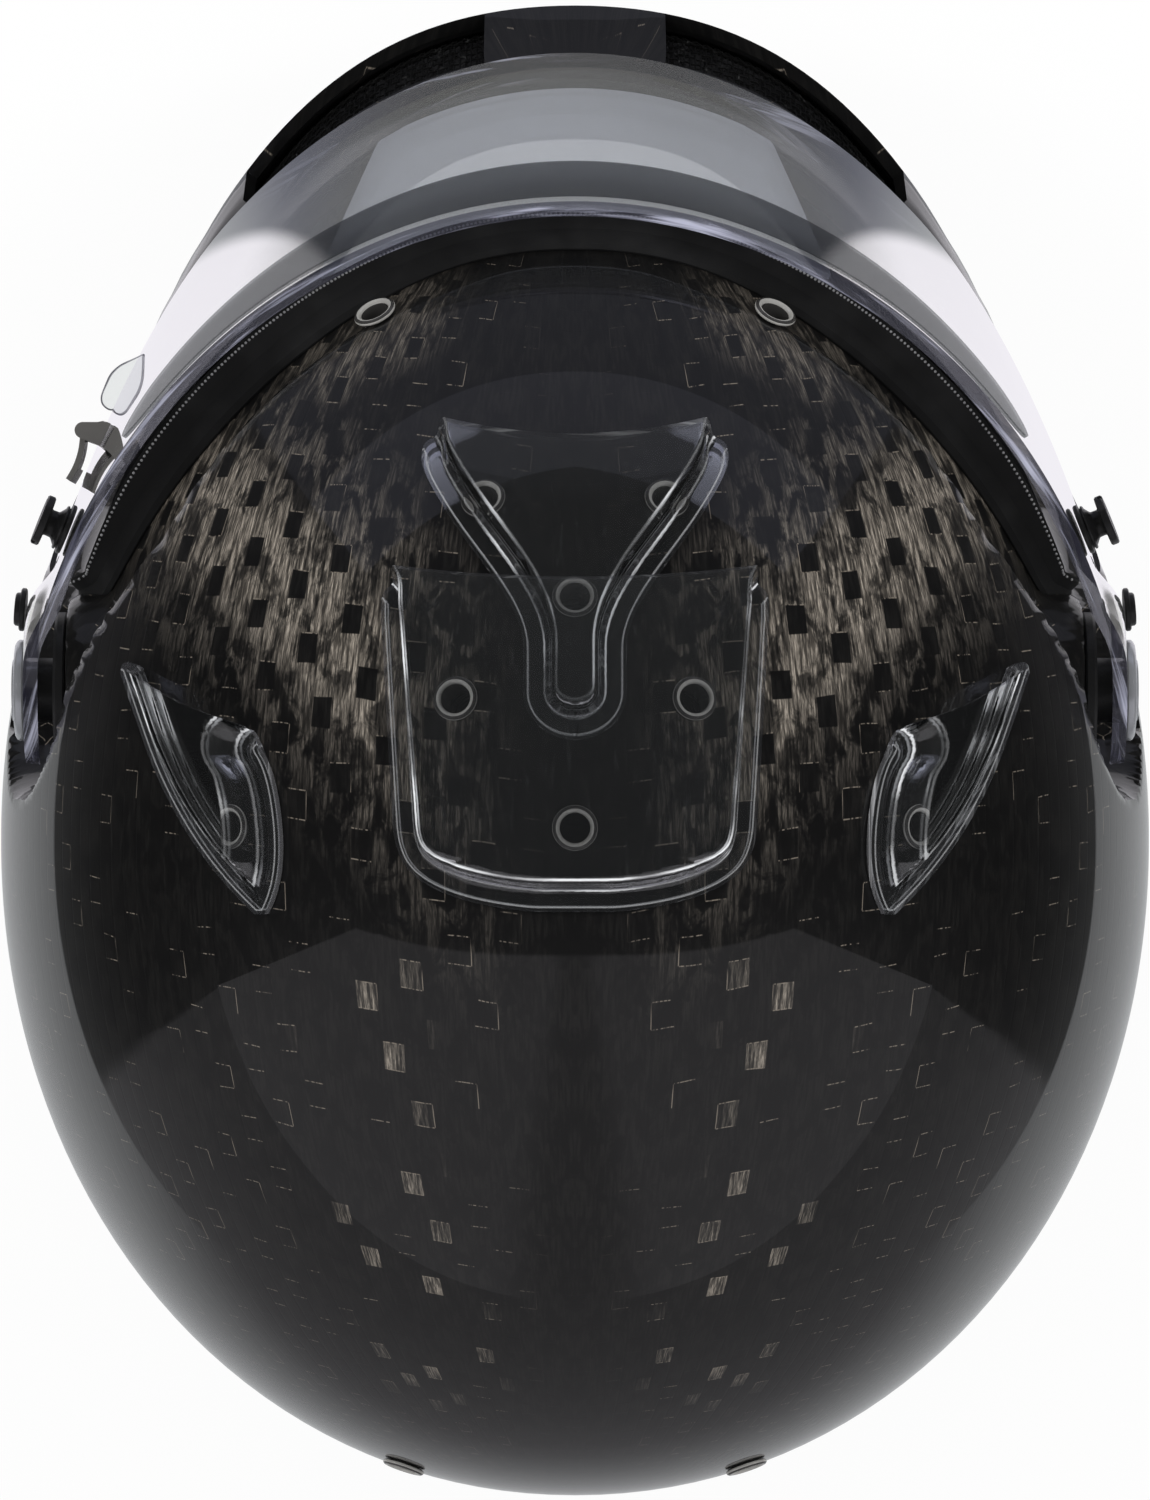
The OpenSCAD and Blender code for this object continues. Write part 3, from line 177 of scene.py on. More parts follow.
def mesh_from(name, points, faces, kinds, sharp=40, marks=None):
    """A Blender mesh from millimetre points and quads, facing outwards, with its doubles merged.
    marks gives each point a number under a name, for a finish to read."""
    if enclosed(points, faces) < 0:
        faces = faces[:, ::-1]
    mesh = bpy.data.meshes.new(name)
    mesh.vertices.add(len(points))
    mesh.vertices.foreach_set("co", (points / 1000).astype(np.float32).ravel())
    mesh.loops.add(faces.size)
    mesh.loops.foreach_set("vertex_index", faces.astype(np.int32).ravel())
    mesh.polygons.add(len(faces))
    mesh.polygons.foreach_set("loop_start", np.arange(0, faces.size, 4, dtype=np.int32))
    mesh.polygons.foreach_set("material_index", kinds.astype(np.int32))
    for label, values in (marks or {}).items():
        layer = mesh.attributes.new(label, "FLOAT", "POINT")
        layer.data.foreach_set("value", np.asarray(values, np.float32).ravel())
    mesh.update(calc_edges=True)
    work = bmesh.new()
    work.from_mesh(mesh)
    bmesh.ops.remove_doubles(work, verts=work.verts, dist=2e-6)
    loose = [v for v in work.verts if not v.link_faces]
    bmesh.ops.delete(work, geom=loose, context="VERTS")
    work.to_mesh(mesh)
    work.free()
    mesh.polygons.foreach_set("use_smooth", np.ones(len(mesh.polygons), bool))
    if sharp:
        mesh.set_sharp_from_angle(angle=math.radians(sharp))
    return mesh

def add_piece(name, shape, finishes, body, nodes=(), sharp=40, marks=None):
    """Put a finished shape in the scene, on its body, in place of the solids that it stands for."""
    obj = bpy.data.objects.new(name, mesh_from(name, *shape, sharp=sharp, marks=marks))
    bpy.context.scene.collection.objects.link(obj)
    for finish in finishes:
        obj.data.materials.append(finish)
    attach(obj, body)
    if nodes:
        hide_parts(*nodes)
    print(f"{name}: {len(obj.data.polygons)} faces")
    return obj

def soften(obj, width, segments=2, angle=35):
    """Round the sharp edges of a piece by a Bevel modifier; width in millimetres."""
    bevel = obj.modifiers.new("edge", "BEVEL")
    bevel.width = width / 1000
    bevel.segments = segments
    bevel.limit_method = "ANGLE"
    bevel.angle_limit = math.radians(angle)
    return obj

def cut(obj, shapes):
    """Cut closed shapes out of a piece and keep the result as its mesh."""
    tool = bpy.data.objects.new("cutter", mesh_from("cutter", *join(shapes), sharp=0))
    bpy.context.scene.collection.objects.link(tool)
    boolean = obj.modifiers.new("cut", "BOOLEAN")
    boolean.operation = "DIFFERENCE"
    boolean.solver = "MANIFOLD"
    boolean.object = tool
    bpy.context.view_layer.update()
    result = bpy.data.meshes.new_from_object(obj.evaluated_get(bpy.context.evaluated_depsgraph_get()))
    if len(result.polygons) > 0.5 * len(obj.data.polygons):
        old = obj.data
        obj.modifiers.clear()
        obj.data = result
        # the cutter has no finish of its own, so the faces that it leaves take the piece's last one
        for index in range(len(result.materials)):
            result.materials[index] = old.materials[min(index, len(old.materials) - 1)]
        result.name = old.name
        result.set_sharp_from_angle(angle=math.radians(40))
    else:
        print("cut failed on", obj.name)
        obj.modifiers.clear()
    bpy.data.objects.remove(tool)
    return obj

def placed(shape, at, direction, turn=0.0):
    """A shape drawn along +Z, turned about it and laid along a direction at a place."""
    points, faces, kinds = shape
    turned_to = Vector(direction).normalized().to_track_quat("Z", "Y").to_matrix()
    spin = Matrix.Rotation(math.radians(turn), 3, "Z")
    return points @ np.array(turned_to @ spin).T + np.asarray(at, float), faces, kinds

# %% [markdown]
# ## The shell's form
# The shell of such a helmet is moulded over a head form: a superellipse in plan, a rounder dome above its
# widest level, a tuck inwards below it, and a chin bar that swells forward. One formula of two numbers
# gives every point: the plan angle, 0 at the face and 90 at the wearer's left, and a height share from
# the bottom edge to the crown. The side recess, where the visor's arms swing, is pressed in by a mask
# round the pivot. It could be sculpted instead; a formula is chosen because every opening, fitting and
# lining can ask it where the surface is.

# %% Shell formula
SHELL_W, BROW, REAR, MID_Y = 255.0, 148.0, 145.5, 20.0
WIDEST_Z, DOME_H = 105.0, 157.0
CHIN_REACH, CHIN_Z, CHIN_TOP, CHIN_FALL = 43.5, 62.0, 150.0, 2.5
SHELL_T = 3.0
DOME_N, PLAN_N = 1.92, 2.05
SIDE_TUCK, REAR_TUCK, FRONT_TUCK, TUCK_N = 0.12, 0.13, 0.10, 2.2
WIDEST_V = 0.35
PIVOT = np.array([0.0, -13.0, 150.0])
ARM_R = 17.0
RECESS_DEPTH, RECESS_R, RECESS_SLOPE = 9.0, ARM_R + 4, 0.6
RECESS_UP, RECESS_DOWN, RECESS_BLEND, RECESS_X = 40.0, 75.0, 5.0, 110.0

def height_share(z):
    """Share of a height: straight up to the widest level, then by the dome's elevation angle."""
    up = clip((z - WIDEST_Z) / DOME_H)
    return np.where(z <= WIDEST_Z, WIDEST_V * z / WIDEST_Z,
                    WIDEST_V + (1 - WIDEST_V) * np.arcsin(up ** (DOME_N / 2)) / (np.pi / 2))

def elevation(v):
    """The dome's elevation angle: 0 up to the widest level, a quarter turn at the crown."""
    return np.pi / 2 * clip((v - WIDEST_V) / (1 - WIDEST_V))

def height_of(v):
    """Height of a share: straight up, then the sine of the elevation to the power 2 / n."""
    return np.where(v <= WIDEST_V, WIDEST_Z * v / WIDEST_V,
                    WIDEST_Z + DOME_H * np.abs(np.sin(elevation(v))) ** (2 / DOME_N))

def dome_share(v):
    """Share of the full plan size: the cosine of the elevation to the power 2 / n."""
    return np.maximum(0, np.cos(elevation(v))) ** (2 / DOME_N)

def tuck(v):
    """How far below the widest level: 0 there and 1 at the bottom edge, to a power."""
    return np.maximum(0, 1 - v / WIDEST_V) ** TUCK_N

def plan_reach(front, share, v):
    """Distance from the middle line to the face, where front holds, or to the rear."""
    ahead = BROW * share * (1 - FRONT_TUCK * tuck(v))
    behind = REAR * share * (1 - REAR_TUCK * tuck(v))
    return np.where(front, ahead, behind)

def half_width(share, v):
    """Half of the shell's width times the dome's share, less the tuck at the sides."""
    return SHELL_W / 2 * share * (1 - SIDE_TUCK * tuck(v))

def chin_bulge(z):
    """Swell of the chin: whole up to its own level, then a power of the height that is left."""
    return CHIN_REACH * clip((CHIN_TOP - z) / (CHIN_TOP - CHIN_Z)) ** CHIN_FALL

def chin_share(a):
    """Share of the swell round the plan: 1 at the face and 0 at the sides, by powers of the sine."""
    return np.maximum(0, 1 - np.abs(np.sin(a)) ** 3.6) ** 1.7

def smooth_shell(a, v):
    """Point of the shell without its recess; a is the plan angle in degrees, v the height share."""
    a = np.radians(a)
    share, z = dome_share(v), height_of(v)
    front = np.cos(a) > 0
    x = half_width(share, v) * signed_power(np.sin(a), 2 / PLAN_N)
    swell = np.where(front, chin_bulge(z) * chin_share(a), 0)
    y = MID_Y - plan_reach(front, share, v) * signed_power(np.cos(a), 2 / PLAN_N) - swell
    return np.stack(np.broadcast_arrays(x, y, z), axis=-1)

def recess_edge(y, z):
    """Distance outside the recess: a circle round the pivot that opens forward as a wedge."""
    away = np.abs(z - PIVOT[2])
    widest = np.where(z > PIVOT[2], RECESS_UP, RECESS_DOWN)
    wedge = away - np.minimum(RECESS_R + RECESS_SLOPE * (PIVOT[1] - y), widest)
    return np.where(y < PIVOT[1], wedge, np.hypot(y - PIVOT[1], away) - RECESS_R)

def shell_point(a, v):
    """Point of the shell with its recess pressed in and its flat floor under the pivot."""
    p = smooth_shell(a, v)
    a = np.radians(a)
    x, y, z = np.abs(p[..., 0]), p[..., 1], p[..., 2]
    pressed = ease(clip(0.5 - recess_edge(y, z) / (1.5 * RECESS_BLEND)))
    x = x - RECESS_DEPTH * pressed * ease(clip(np.abs(np.sin(a)) * 1.25))
    floor = ease(clip((RECESS_R + 3 - np.hypot(y - PIVOT[1], z - PIVOT[2])) / 5))
    floor = np.where((np.cos(a) > -0.3) & (np.abs(np.sin(a)) > 0.5), floor, 0)
    x = mix(x, np.minimum(x + RECESS_DEPTH, RECESS_X), floor)
    return np.stack([np.sign(p[..., 0]) * x, y, z], axis=-1)

def shell_normal(a, v):
    """Outward direction: the cross product of the steps along the plan angle and up the height."""
    step = 0.004
    along = smooth_shell(a + 0.5, v) - smooth_shell(a - 0.5, v)
    up = smooth_shell(a, np.minimum(0.9995, v + step)) - smooth_shell(a, np.maximum(0, v - step))
    n = np.cross(along, up)
    length = np.linalg.norm(n, axis=-1, keepdims=True)
    top = (v > 0.995)[..., None] if np.ndim(v) else v > 0.995
    return np.where(top, [0.0, 0.0, 1.0], n / np.maximum(length, 1e-9))

def skin(a, v, depth):
    """The shell's skin at a depth: its point less the depth times its outward direction."""
    a, v = np.broadcast_arrays(np.asarray(a, float), np.asarray(v, float))
    return shell_point(a, v) - depth * shell_normal(a, v)

def side_x(y, z):
    """Half width of the shell at a place in Y and Z, away from the chin's swell."""
    v = height_share(np.asarray(z, float))
    share = dome_share(v)
    reach = plan_reach(y < MID_Y, share, v)
    return float(half_width(share, v) * max(0.0, 1 - (abs(y - MID_Y) / reach) ** PLAN_N) ** (1 / PLAN_N))

def dome_z(x, y):
    """Height of the dome over a plan place: its superellipse solved for the height."""
    reach = np.where(y < MID_Y, BROW, REAR)
    c = ((np.abs(x) / (SHELL_W / 2)) ** PLAN_N + (np.abs(y - MID_Y) / reach) ** PLAN_N) ** (1 / PLAN_N)
    return WIDEST_Z + DOME_H * np.maximum(0, 1 - np.minimum(1, c) ** DOME_N) ** (1 / DOME_N)

def dome_normal(x, y):
    """Outward direction on the dome, from the slopes of its height by small differences."""
    d = 0.2
    return unit(np.stack([dome_z(x - d, y) - dome_z(x + d, y), dome_z(x, y - d) - dome_z(x, y + d),
                          np.broadcast_to(2 * d, np.shape(x))], axis=-1))

def dome_point(x, y, height=0.0):
    """A place on the dome, found by plan position and lifted along its normal."""
    x, y, height = np.broadcast_arrays(np.asarray(x, float), np.asarray(y, float), np.asarray(height, float))
    return np.stack([x, y, dome_z(x, y)], axis=-1) + height[..., None] * dome_normal(x, y)

print("crown at", dome_point(0.0, MID_Y))

# %% [markdown]
# ## The eyeport and the visor's outline
# The eyeport follows the visor: both are tall at the face and narrow to the pivots. The visor is a screen
# moulded on two levels, the lower one wider and further forward, so that a straight line up its face
# leans back. Its arms flare out to a flat round end that turns on the pivot. A curve projected on the
# shell could draw these edges; heights by plan angle are chosen because the shell, the visor and the seal
# can share them.

# %% Eyeport and visor formulas
PORT_END, PORT_LIP = 67.5, 5.0
PORT_LOW, PORT_HIGH = 91.0, 178.0
VISOR_T = 3.2
VISOR_LOW_W, VISOR_TOP_W, VISOR_LOW_REACH, VISOR_TOP_REACH = 126.0, 121.0, 177.0, 137.0
VISOR_LOW_Z, VISOR_TOP_Z = 82.0, 190.0
VISOR_END, ARM_A = 83.4, 77.0
ARM_X = RECESS_X + 9.2
FLARE_R = 1.65 * ARM_R

def visor_high(a):
    """Upper edge of the visor: level at the face, then down to the arm's top by a power."""
    return mix(VISOR_TOP_Z, PIVOT[2] + ARM_R, clip((np.abs(a) - 20) / (ARM_A - 20)) ** 1.6)

def visor_low(a):
    """Lower edge of the visor: level at the face, then a smooth step up to the arm's foot."""
    return mix(VISOR_LOW_Z, PIVOT[2] - ARM_R, ease(clip((np.abs(a) - 38) / (ARM_A - 38))))

def port_edge(a, side):
    """Height of the eyeport's edge: side +1 above, -1 below; behind its end it spreads to level rows."""
    at = np.minimum(np.abs(a), PORT_END)
    high = visor_high(at) - (VISOR_TOP_Z - PORT_HIGH)
    low = visor_low(at) + (PORT_LOW - VISOR_LOW_Z)
    share = np.maximum(0.45, np.maximum(0, 1 - (at / PORT_END) ** 6) ** (1 / 6))
    edge = (high + low) / 2 + side * (high - low) / 2 * share
    return mix(edge, 95.0 if side < 0 else 165.0, ease(clip((np.abs(a) - PORT_END) / 50)))

def arm_flat(y, z):
    """Share of the flat arm at a place: a smooth step of its distance from the pivot."""
    return ease(clip((FLARE_R - np.hypot(y - PIVOT[1], z - PIVOT[2])) / (FLARE_R - ARM_R)))

def visor_point(a, z, depth=0.0):
    """Point of the visor: an ellipse whose half axes change with height, flared flat at the arms."""
    a, z, depth = np.broadcast_arrays(np.asarray(a, float), np.asarray(z, float), np.asarray(depth, float))
    t = (z - VISOR_LOW_Z) / (VISOR_TOP_Z - VISOR_LOW_Z)
    x = (mix(VISOR_LOW_W, VISOR_TOP_W, t) - depth) * np.sin(np.radians(a))
    y = MID_Y - (mix(VISOR_LOW_REACH, VISOR_TOP_REACH, t) - depth) * np.cos(np.radians(a))
    flat = arm_flat(y, z)
    return np.stack([np.sign(a) * mix(np.abs(x), ARM_X - depth, flat), y, z], axis=-1)

def visor_x(y, z):
    """Half width of the visor at a place in Y and Z: its ellipse solved for X, flared at the arm."""
    t = (z - VISOR_LOW_Z) / (VISOR_TOP_Z - VISOR_LOW_Z)
    reach = mix(VISOR_LOW_REACH, VISOR_TOP_REACH, t)
    x = mix(VISOR_LOW_W, VISOR_TOP_W, t) * math.sqrt(max(0, 1 - ((MID_Y - y) / reach) ** 2))
    return mix(x, ARM_X, float(arm_flat(y, z)))

def visor_dir(s, y, z=PIVOT[2]):
    """Outward direction on the visor, from the slopes of its half width."""
    d = 0.5
    lean_y = (visor_x(y - d, z) - visor_x(y + d, z)) / (2 * d)
    lean_z = (visor_x(y, z - d) - visor_x(y, z + d)) / (2 * d)
    return unit([s, lean_y, lean_z])

def on_visor(shape, s, y, lift=0.0, turn=0.0):
    """A turned fitting laid on the visor's face at pivot height."""
    d = visor_dir(s, y)
    return placed(shape, np.array([s * visor_x(y, PIVOT[2]), y, PIVOT[2]]) + lift * d, d, turn)

def at_pivot(shape, s, x, turn=0.0):
    """A turned fitting laid on the pivots' axis, s = 1 on the left, at a distance from the middle."""
    return placed(shape, (s * x, PIVOT[1], PIVOT[2]), (s, 0.0, 0.0), turn)

print("visor half width at the posts", visor_x(-47.7, PIVOT[2]))

# %% [markdown]
# ## Writing finishes
# A finish is a shader written as plain sums. One small class wraps a socket so that + - * / and a few
# named functions make the maths nodes, and one method adds every other node. Each node could be made and
# linked by hand, but a sum is shorter and can be read as what it does.

# %% Finish writer
class Wire:
    """An output of a shader node that can be used in plain arithmetic."""
    def __init__(self, finish, socket):
        self.finish, self.socket = finish, socket

    def maths(self, operation, *others, clamp=False):
        """A Math node, or a Vector Math node where either side is a vector or a colour."""
        sides = [self, *others]
        vector = any(isinstance(s, Wire) and s.socket.type in {"VECTOR", "RGBA"} for s in sides)
        kind = "ShaderNodeVectorMath" if vector else "ShaderNodeMath"
        node = self.finish.tree.nodes.new(kind)
        node.operation = operation
        if not vector:
            node.use_clamp = clamp
        for socket, side in zip(node.inputs, sides):
            if isinstance(side, Wire):
                self.finish.tree.links.new(side.socket, socket)
            elif vector and not isinstance(side, (tuple, list)):
                socket.default_value = (side, side, side)
            else:
                socket.default_value = side
        number = not vector or operation in {"LENGTH", "DOT_PRODUCT"}
        return Wire(self.finish, node.outputs["Value" if number else "Vector"])

    def flipped(self, operation, other):
        """The same with the plain number on the left."""
        node = self.finish.tree.nodes.new("ShaderNodeMath")
        node.operation = operation
        node.inputs[0].default_value = other
        self.finish.tree.links.new(self.socket, node.inputs[1])
        return Wire(self.finish, node.outputs[0])

    def __add__(self, other): return self.maths("ADD", other)
    def __radd__(self, other): return self.maths("ADD", other)
    def __sub__(self, other): return self.maths("SUBTRACT", other)
    def __rsub__(self, other): return self.flipped("SUBTRACT", other)
    def __mul__(self, other): return self.maths("MULTIPLY", other)
    def __rmul__(self, other): return self.maths("MULTIPLY", other)
    def __truediv__(self, other): return self.maths("DIVIDE", other)
    def __rtruediv__(self, other): return self.flipped("DIVIDE", other)

    def floor(self): return self.maths("FLOOR")
    def fract(self): return self.maths("FRACT")
    def abs(self): return self.maths("ABSOLUTE")
    def sin(self): return self.maths("SINE")
    def sqrt(self): return self.maths("SQRT")
    def most(self, other): return self.maths("MAXIMUM", other)
    def clamped(self): return self.maths("ADD", 0.0, clamp=True)
    def above(self, level): return self.maths("GREATER_THAN", level)

    def ridge(self, middle, half):
        """1 at a middle value, falling smoothly to 0 at half a width on either side."""
        return (1.0 - ((self - middle) / half).abs()).step(0.0, 0.8)

    def step(self, low, high):
        """0 below low, 1 above high and a smooth run between them."""
        return self.finish.node("ShaderNodeMapRange", {"interpolation_type": "SMOOTHSTEP"},
                                {"Value": self, "From Min": low, "From Max": high})

    def part(self, name):
        """Another output of the same node."""
        return Wire(self.finish, self.socket.node.outputs[name])


class Finish:
    """A material, or the world, while it is being written."""
    def __init__(self, name, world=None):
        self.holder = world or bpy.data.materials.new(name)
        self.holder.use_nodes = True
        self.tree = self.holder.node_tree
        self.tree.nodes.clear()

    def node(self, kind, settings=None, sockets=None):
        """Add a node: its settings first, then a value or a wire for each named or numbered socket."""
        node = self.tree.nodes.new(kind)
        for key, value in (settings or {}).items():
            setattr(node, key, value)
        for key, value in (sockets or {}).items():
            socket = node.inputs[key]
            if isinstance(value, Wire):
                self.tree.links.new(value.socket, socket)
            elif socket.type == "RGBA" and len(value) == 3:
                socket.default_value = (*value, 1.0)
            else:
                socket.default_value = value
        return Wire(self, next(o for o in node.outputs if o.enabled))

    def place(self, scale=(1.0, 1.0, 1.0), offset=(0.0, 0.0, 0.0), turn=(0.0, 0.0, 0.0)):
        """The object's own coordinates, moved, turned and scaled by a Mapping node."""
        where = self.node("ShaderNodeTexCoord").part("Object")
        sockets = {"Vector": where, "Location": offset, "Rotation": turn, "Scale": scale}
        return self.node("ShaderNodeMapping", None, sockets)

    def noise(self, where, scale, detail=2.0, rough=0.5, warp=0.0):
        """Soft noise of a place, from 0 to 1."""
        sockets = {"Vector": where, "Scale": scale, "Detail": detail, "Roughness": rough, "Distortion": warp}
        return self.node("ShaderNodeTexNoise", {"noise_dimensions": "3D"}, sockets)

    def cells(self, where, scale, feature="F1", random=1.0):
        """Cell noise of a place: a distance, and a colour for each cell."""
        return self.node("ShaderNodeTexVoronoi", {"feature": feature},
                         {"Vector": where, "Scale": scale, "Randomness": random})

    def blend(self, share, low, high):
        """A colour a share of the way from low to high."""
        return self.node("ShaderNodeMix", {"data_type": "RGBA"}, {0: share, 6: low, 7: high}).part(2)

    def bump(self, height, strength, distance):
        """A surface direction tilted by the slope of a height."""
        sockets = {"Height": height, "Strength": strength, "Distance": distance}
        return self.node("ShaderNodeBump", None, sockets)

    def surface(self, **sockets):
        """A Principled surface; names such as Base_Color stand for its sockets."""
        named = {key.replace("_", " "): value for key, value in sockets.items()}
        return self.node("ShaderNodeBsdfPrincipled", None, named)

    def layered(self, share, under, over):
        """Two shaders mixed: a share of 0 shows the one under, 1 the one over."""
        return self.node("ShaderNodeMixShader", None, {0: share, 1: under, 2: over})

    def glowing(self, colour):
        """A surface that shows one even colour in any light."""
        return self.node("ShaderNodeEmission", None, {"Color": colour, "Strength": 1.0})

    def done(self, shader, output="ShaderNodeOutputMaterial"):
        """Join a shader to the output and give the material back."""
        out = self.tree.nodes.new(output)
        self.tree.links.new(shader.socket, out.inputs["Surface"])
        return self.holder

# %% [markdown]
# ## Carbon laminate
# The shell is laid up from flat, spread tows about five millimetres wide, in a satin weave: each long tow
# dives under a crossing one at every fifth place only. A tow shines only along its own filaments; that
# sheen is painted into the colour: mainly in two arcs where light would fall along them, the long tows get
# a painted highlight, tan-grey with fine streaks, while the crossings stay black, slanted cells. Elsewhere
# only painted glints on the thin raised tow edges stand out. The cloth is draped over the crown, so its
# lines close in towards the front and the rear: one angle round the long axis and one along it give just
# that. A polished clear coat lies over everything. A tiled texture could be wrapped round instead, but it
# would show its seams and stretch over the dome.

# %% Carbon finish
WEAVE_CENTRE = (0.0, 0.060, 0.105)
CELL_ROUND, CELL_ALONG = 0.0345, 0.0400
SATIN = 5

def carbon_finish():
    """A satin weave in two angles, one round the helmet's long axis and one along it, with painted highlights
    on its tows.
    """
    f = Finish("carbon")
    where = f.place(offset=tuple(-c for c in WEAVE_CENTRE))
    split = f.node("ShaderNodeSeparateXYZ", None, {0: where})
    x, y, z = split, split.part("Y"), split.part("Z")
    side = x.abs()
    wander = f.noise(where, 26.0, 2.0) - 0.5
    column = (side.maths("ARCTAN2", z) + wander * 0.012) / CELL_ROUND
    row = y.maths("ARCTAN2", (x * x + z * z).sqrt()) / CELL_ALONG + column * 0.12
    row = row + (f.noise(where, 70.0, 1.0) - 0.5) * 0.30
    column_in, row_in = column.fract(), row.fract()
    pick = (column.floor() + row.floor() * 3.0) / SATIN + 0.05
    odd = 1.0 - pick.fract().above(0.15)

    # how deep a place lies inside its cell, 0 at the edges
    inside_column = 0.5 - (column_in - 0.5).abs()
    inside_row = 0.5 - (row_in - 0.5).abs()
    crossing = odd * inside_column.step(0.02, 0.07) * inside_row.step(0.00, 0.04)
    cell_id = f.node("ShaderNodeCombineXYZ", None, {0: column.floor(), 1: row.floor(), 2: 3.0})
    luck = f.node("ShaderNodeTexWhiteNoise", {"noise_dimensions": "3D"}, {"Vector": cell_id})
    other = luck.part("Color").maths("LENGTH") / 1.7321

    # filaments: noise drawn out along the tow, and larger blotches that break up the painted sheen, as where
    # a tow turns away from the light, and vary the black
    long_way = f.node("ShaderNodeCombineXYZ", None, {0: column * 7.0, 1: row * 0.8, 2: 0.0})
    fine_way = f.node("ShaderNodeCombineXYZ", None, {0: column * 22.0, 1: row * 1.6, 2: 1.0})
    streak = f.noise(long_way, 1.0, 3.0, 0.65).step(0.36, 0.62)
    fine = f.noise(fine_way, 1.0, 3.0, 0.7).step(0.30, 0.72)
    blotch_way = f.node("ShaderNodeCombineXYZ", None, {0: column * 1.1, 1: row * 0.75, 2: 5.0})
    blotch = f.noise(blotch_way, 1.0, 4.0, 0.65, 0.5).step(0.40, 0.56)
    seam = inside_column.step(0.0, 0.06) * 0.5 + 0.5
    painted_sheen = (streak * 0.7 + 0.3) * (fine * 0.55 + 0.45) * (blotch * 0.86 + 0.14) * seam

    # painted highlights: the two lit arcs run from the recess inward and rearward to the scoops, with a
    # fringe round them and a fainter band along the brow
    across = y + WEAVE_CENTRE[1] + 0.0545 - (0.078 - side) * 1.09
    arc = across.ridge(0.0, 0.031) * side.step(0.018, 0.040)
    brow_line = (y + WEAVE_CENTRE[1] + 0.083 + (side - 0.052).abs() * 0.6).ridge(0.0, 0.016)
    brow = brow_line * side.step(0.02, 0.035) * 0.40
    fringe = across.ridge(-0.004, 0.058) * side.step(0.010, 0.032) * blotch * 0.40
    lit = arc.most(fringe).most(brow)
    # far behind, painted glints: single cross tows catch a little light in two columns
    behind = y.step(-0.030, -0.005) * (1.0 - y.step(0.065, 0.085))
    lane = (side - 0.044 + (y - 0.02).most(0.0) * 0.30).ridge(0.0, 0.017)
    painted_glints = crossing * luck.above(0.45) * lane * behind * (streak * 0.8 + 0.2) * (fine * 0.7 + 0.3)
    painted_tow_sheen = ((1.0 - crossing) * painted_sheen * lit).most(painted_glints * 0.8)

    # painted glints: thin light lines where a crossing tow dives under: its front edge, its inner edge and
    # some rear edges
    front_line = row_in.ridge(0.03, 0.030) * inside_column.step(0.03, 0.08)
    rear_line = row_in.ridge(0.97, 0.030) * inside_column.step(0.03, 0.08) * other.above(0.55)
    inner_line = column_in.ridge(0.03, 0.030) * inside_row.step(0.02, 0.07) * luck.above(0.55)
    edges = odd * front_line.most(rear_line).most(inner_line) * other.above(0.45)
    edges = edges * f.noise(fine_way, 0.4, 2.0).step(0.38, 0.60) * side.step(0.004, 0.02)

    # the near black is the laminate's own colour; the tan-grey is the colour of its painted sheen
    black = f.blend(blotch * streak, (0.0042, 0.0041, 0.0042), (0.0088, 0.0084, 0.0080))
    tan = f.blend(fine * streak, (0.165, 0.142, 0.116), (0.50, 0.440, 0.370))
    colour = f.blend(painted_tow_sheen.clamped(), black, tan)
    # the pale edge colour below is that of the painted glints
    colour = f.blend((edges * 0.8).clamped(), colour, (0.20, 0.172, 0.140))
    height = inside_column.step(0.0, 0.10) * 0.4 + crossing * 0.3 + fine * 0.12
    return f.done(f.surface(
        Base_Color=colour, Roughness=0.42 - painted_tow_sheen.clamped() * 0.08, Specular_IOR_Level=0.25,
        Normal=f.bump(height, 0.10, 0.0004), Coat_Weight=1.0, Coat_Roughness=0.012, Coat_IOR=1.42))

# %% [markdown]
# ## Clear plastics
# Polycarbonate is nearly invisible face on and turns into a mirror edge on. That is written as a
# see-through layer under a mirror layer whose share is the Fresnel value. A little haze stands for fine
# scratches. The cut rims of a screen gather light from inside it; that light is painted on them as brighter,
# bluish streaks in a finish of their own. The scoops are thin mouldings whose folds gather light in the
# same way; it is painted as thin lines at a set distance from their edge. A refracting shader could do all
# this; layers are chosen because such thin sheets hardly bend light, and layers leave far less noise.

# %% Clear finishes
CLEAR_IOR = 1.50

def clear_body(f, tint, haze_colour, haze, scratches):
    """A see-through layer with a share of haze and fine scratches along the piece."""
    cloud = f.noise(f.place(), 18.0, 2.0)
    marks = f.noise(f.place(scale=(1.0, 0.12, 1.0)), 900.0, 2.0).step(0.60, 0.80) * scratches
    see = f.node("ShaderNodeBsdfTransparent", None, {"Color": tint})
    lighter = tuple(min(1.0, c * 1.12) for c in haze_colour)
    milk = f.surface(Base_Color=f.blend(cloud, haze_colour, lighter), Roughness=0.5, Specular_IOR_Level=0.1)
    return f.layered((cloud * 0.3 + 0.85) * haze + marks * 0.04, see, milk), marks

def clear_finish(name, tint, haze_colour, haze, gain=1.0, rough=0.02, scratches=0.3, graze=0.0):
    """Haze over a see-through layer under a mirror; graze adds to the mirror where the outer face is seen
    nearly edge on."""
    f = Finish(name)
    body, marks = clear_body(f, tint, haze_colour, haze, scratches)
    fresnel = f.node("ShaderNodeFresnel", None, {"IOR": CLEAR_IOR})
    mirror = f.surface(Base_Color=(1.0, 1.0, 1.0), Metallic=1.0, Roughness=marks * 0.05 + rough)
    outer_face = 1.0 - f.node("ShaderNodeNewGeometry").part("Backfacing")
    share = fresnel * gain + fresnel.step(0.24, 0.40) * outer_face * graze
    return f.done(f.layered(share.clamped(), body, mirror))

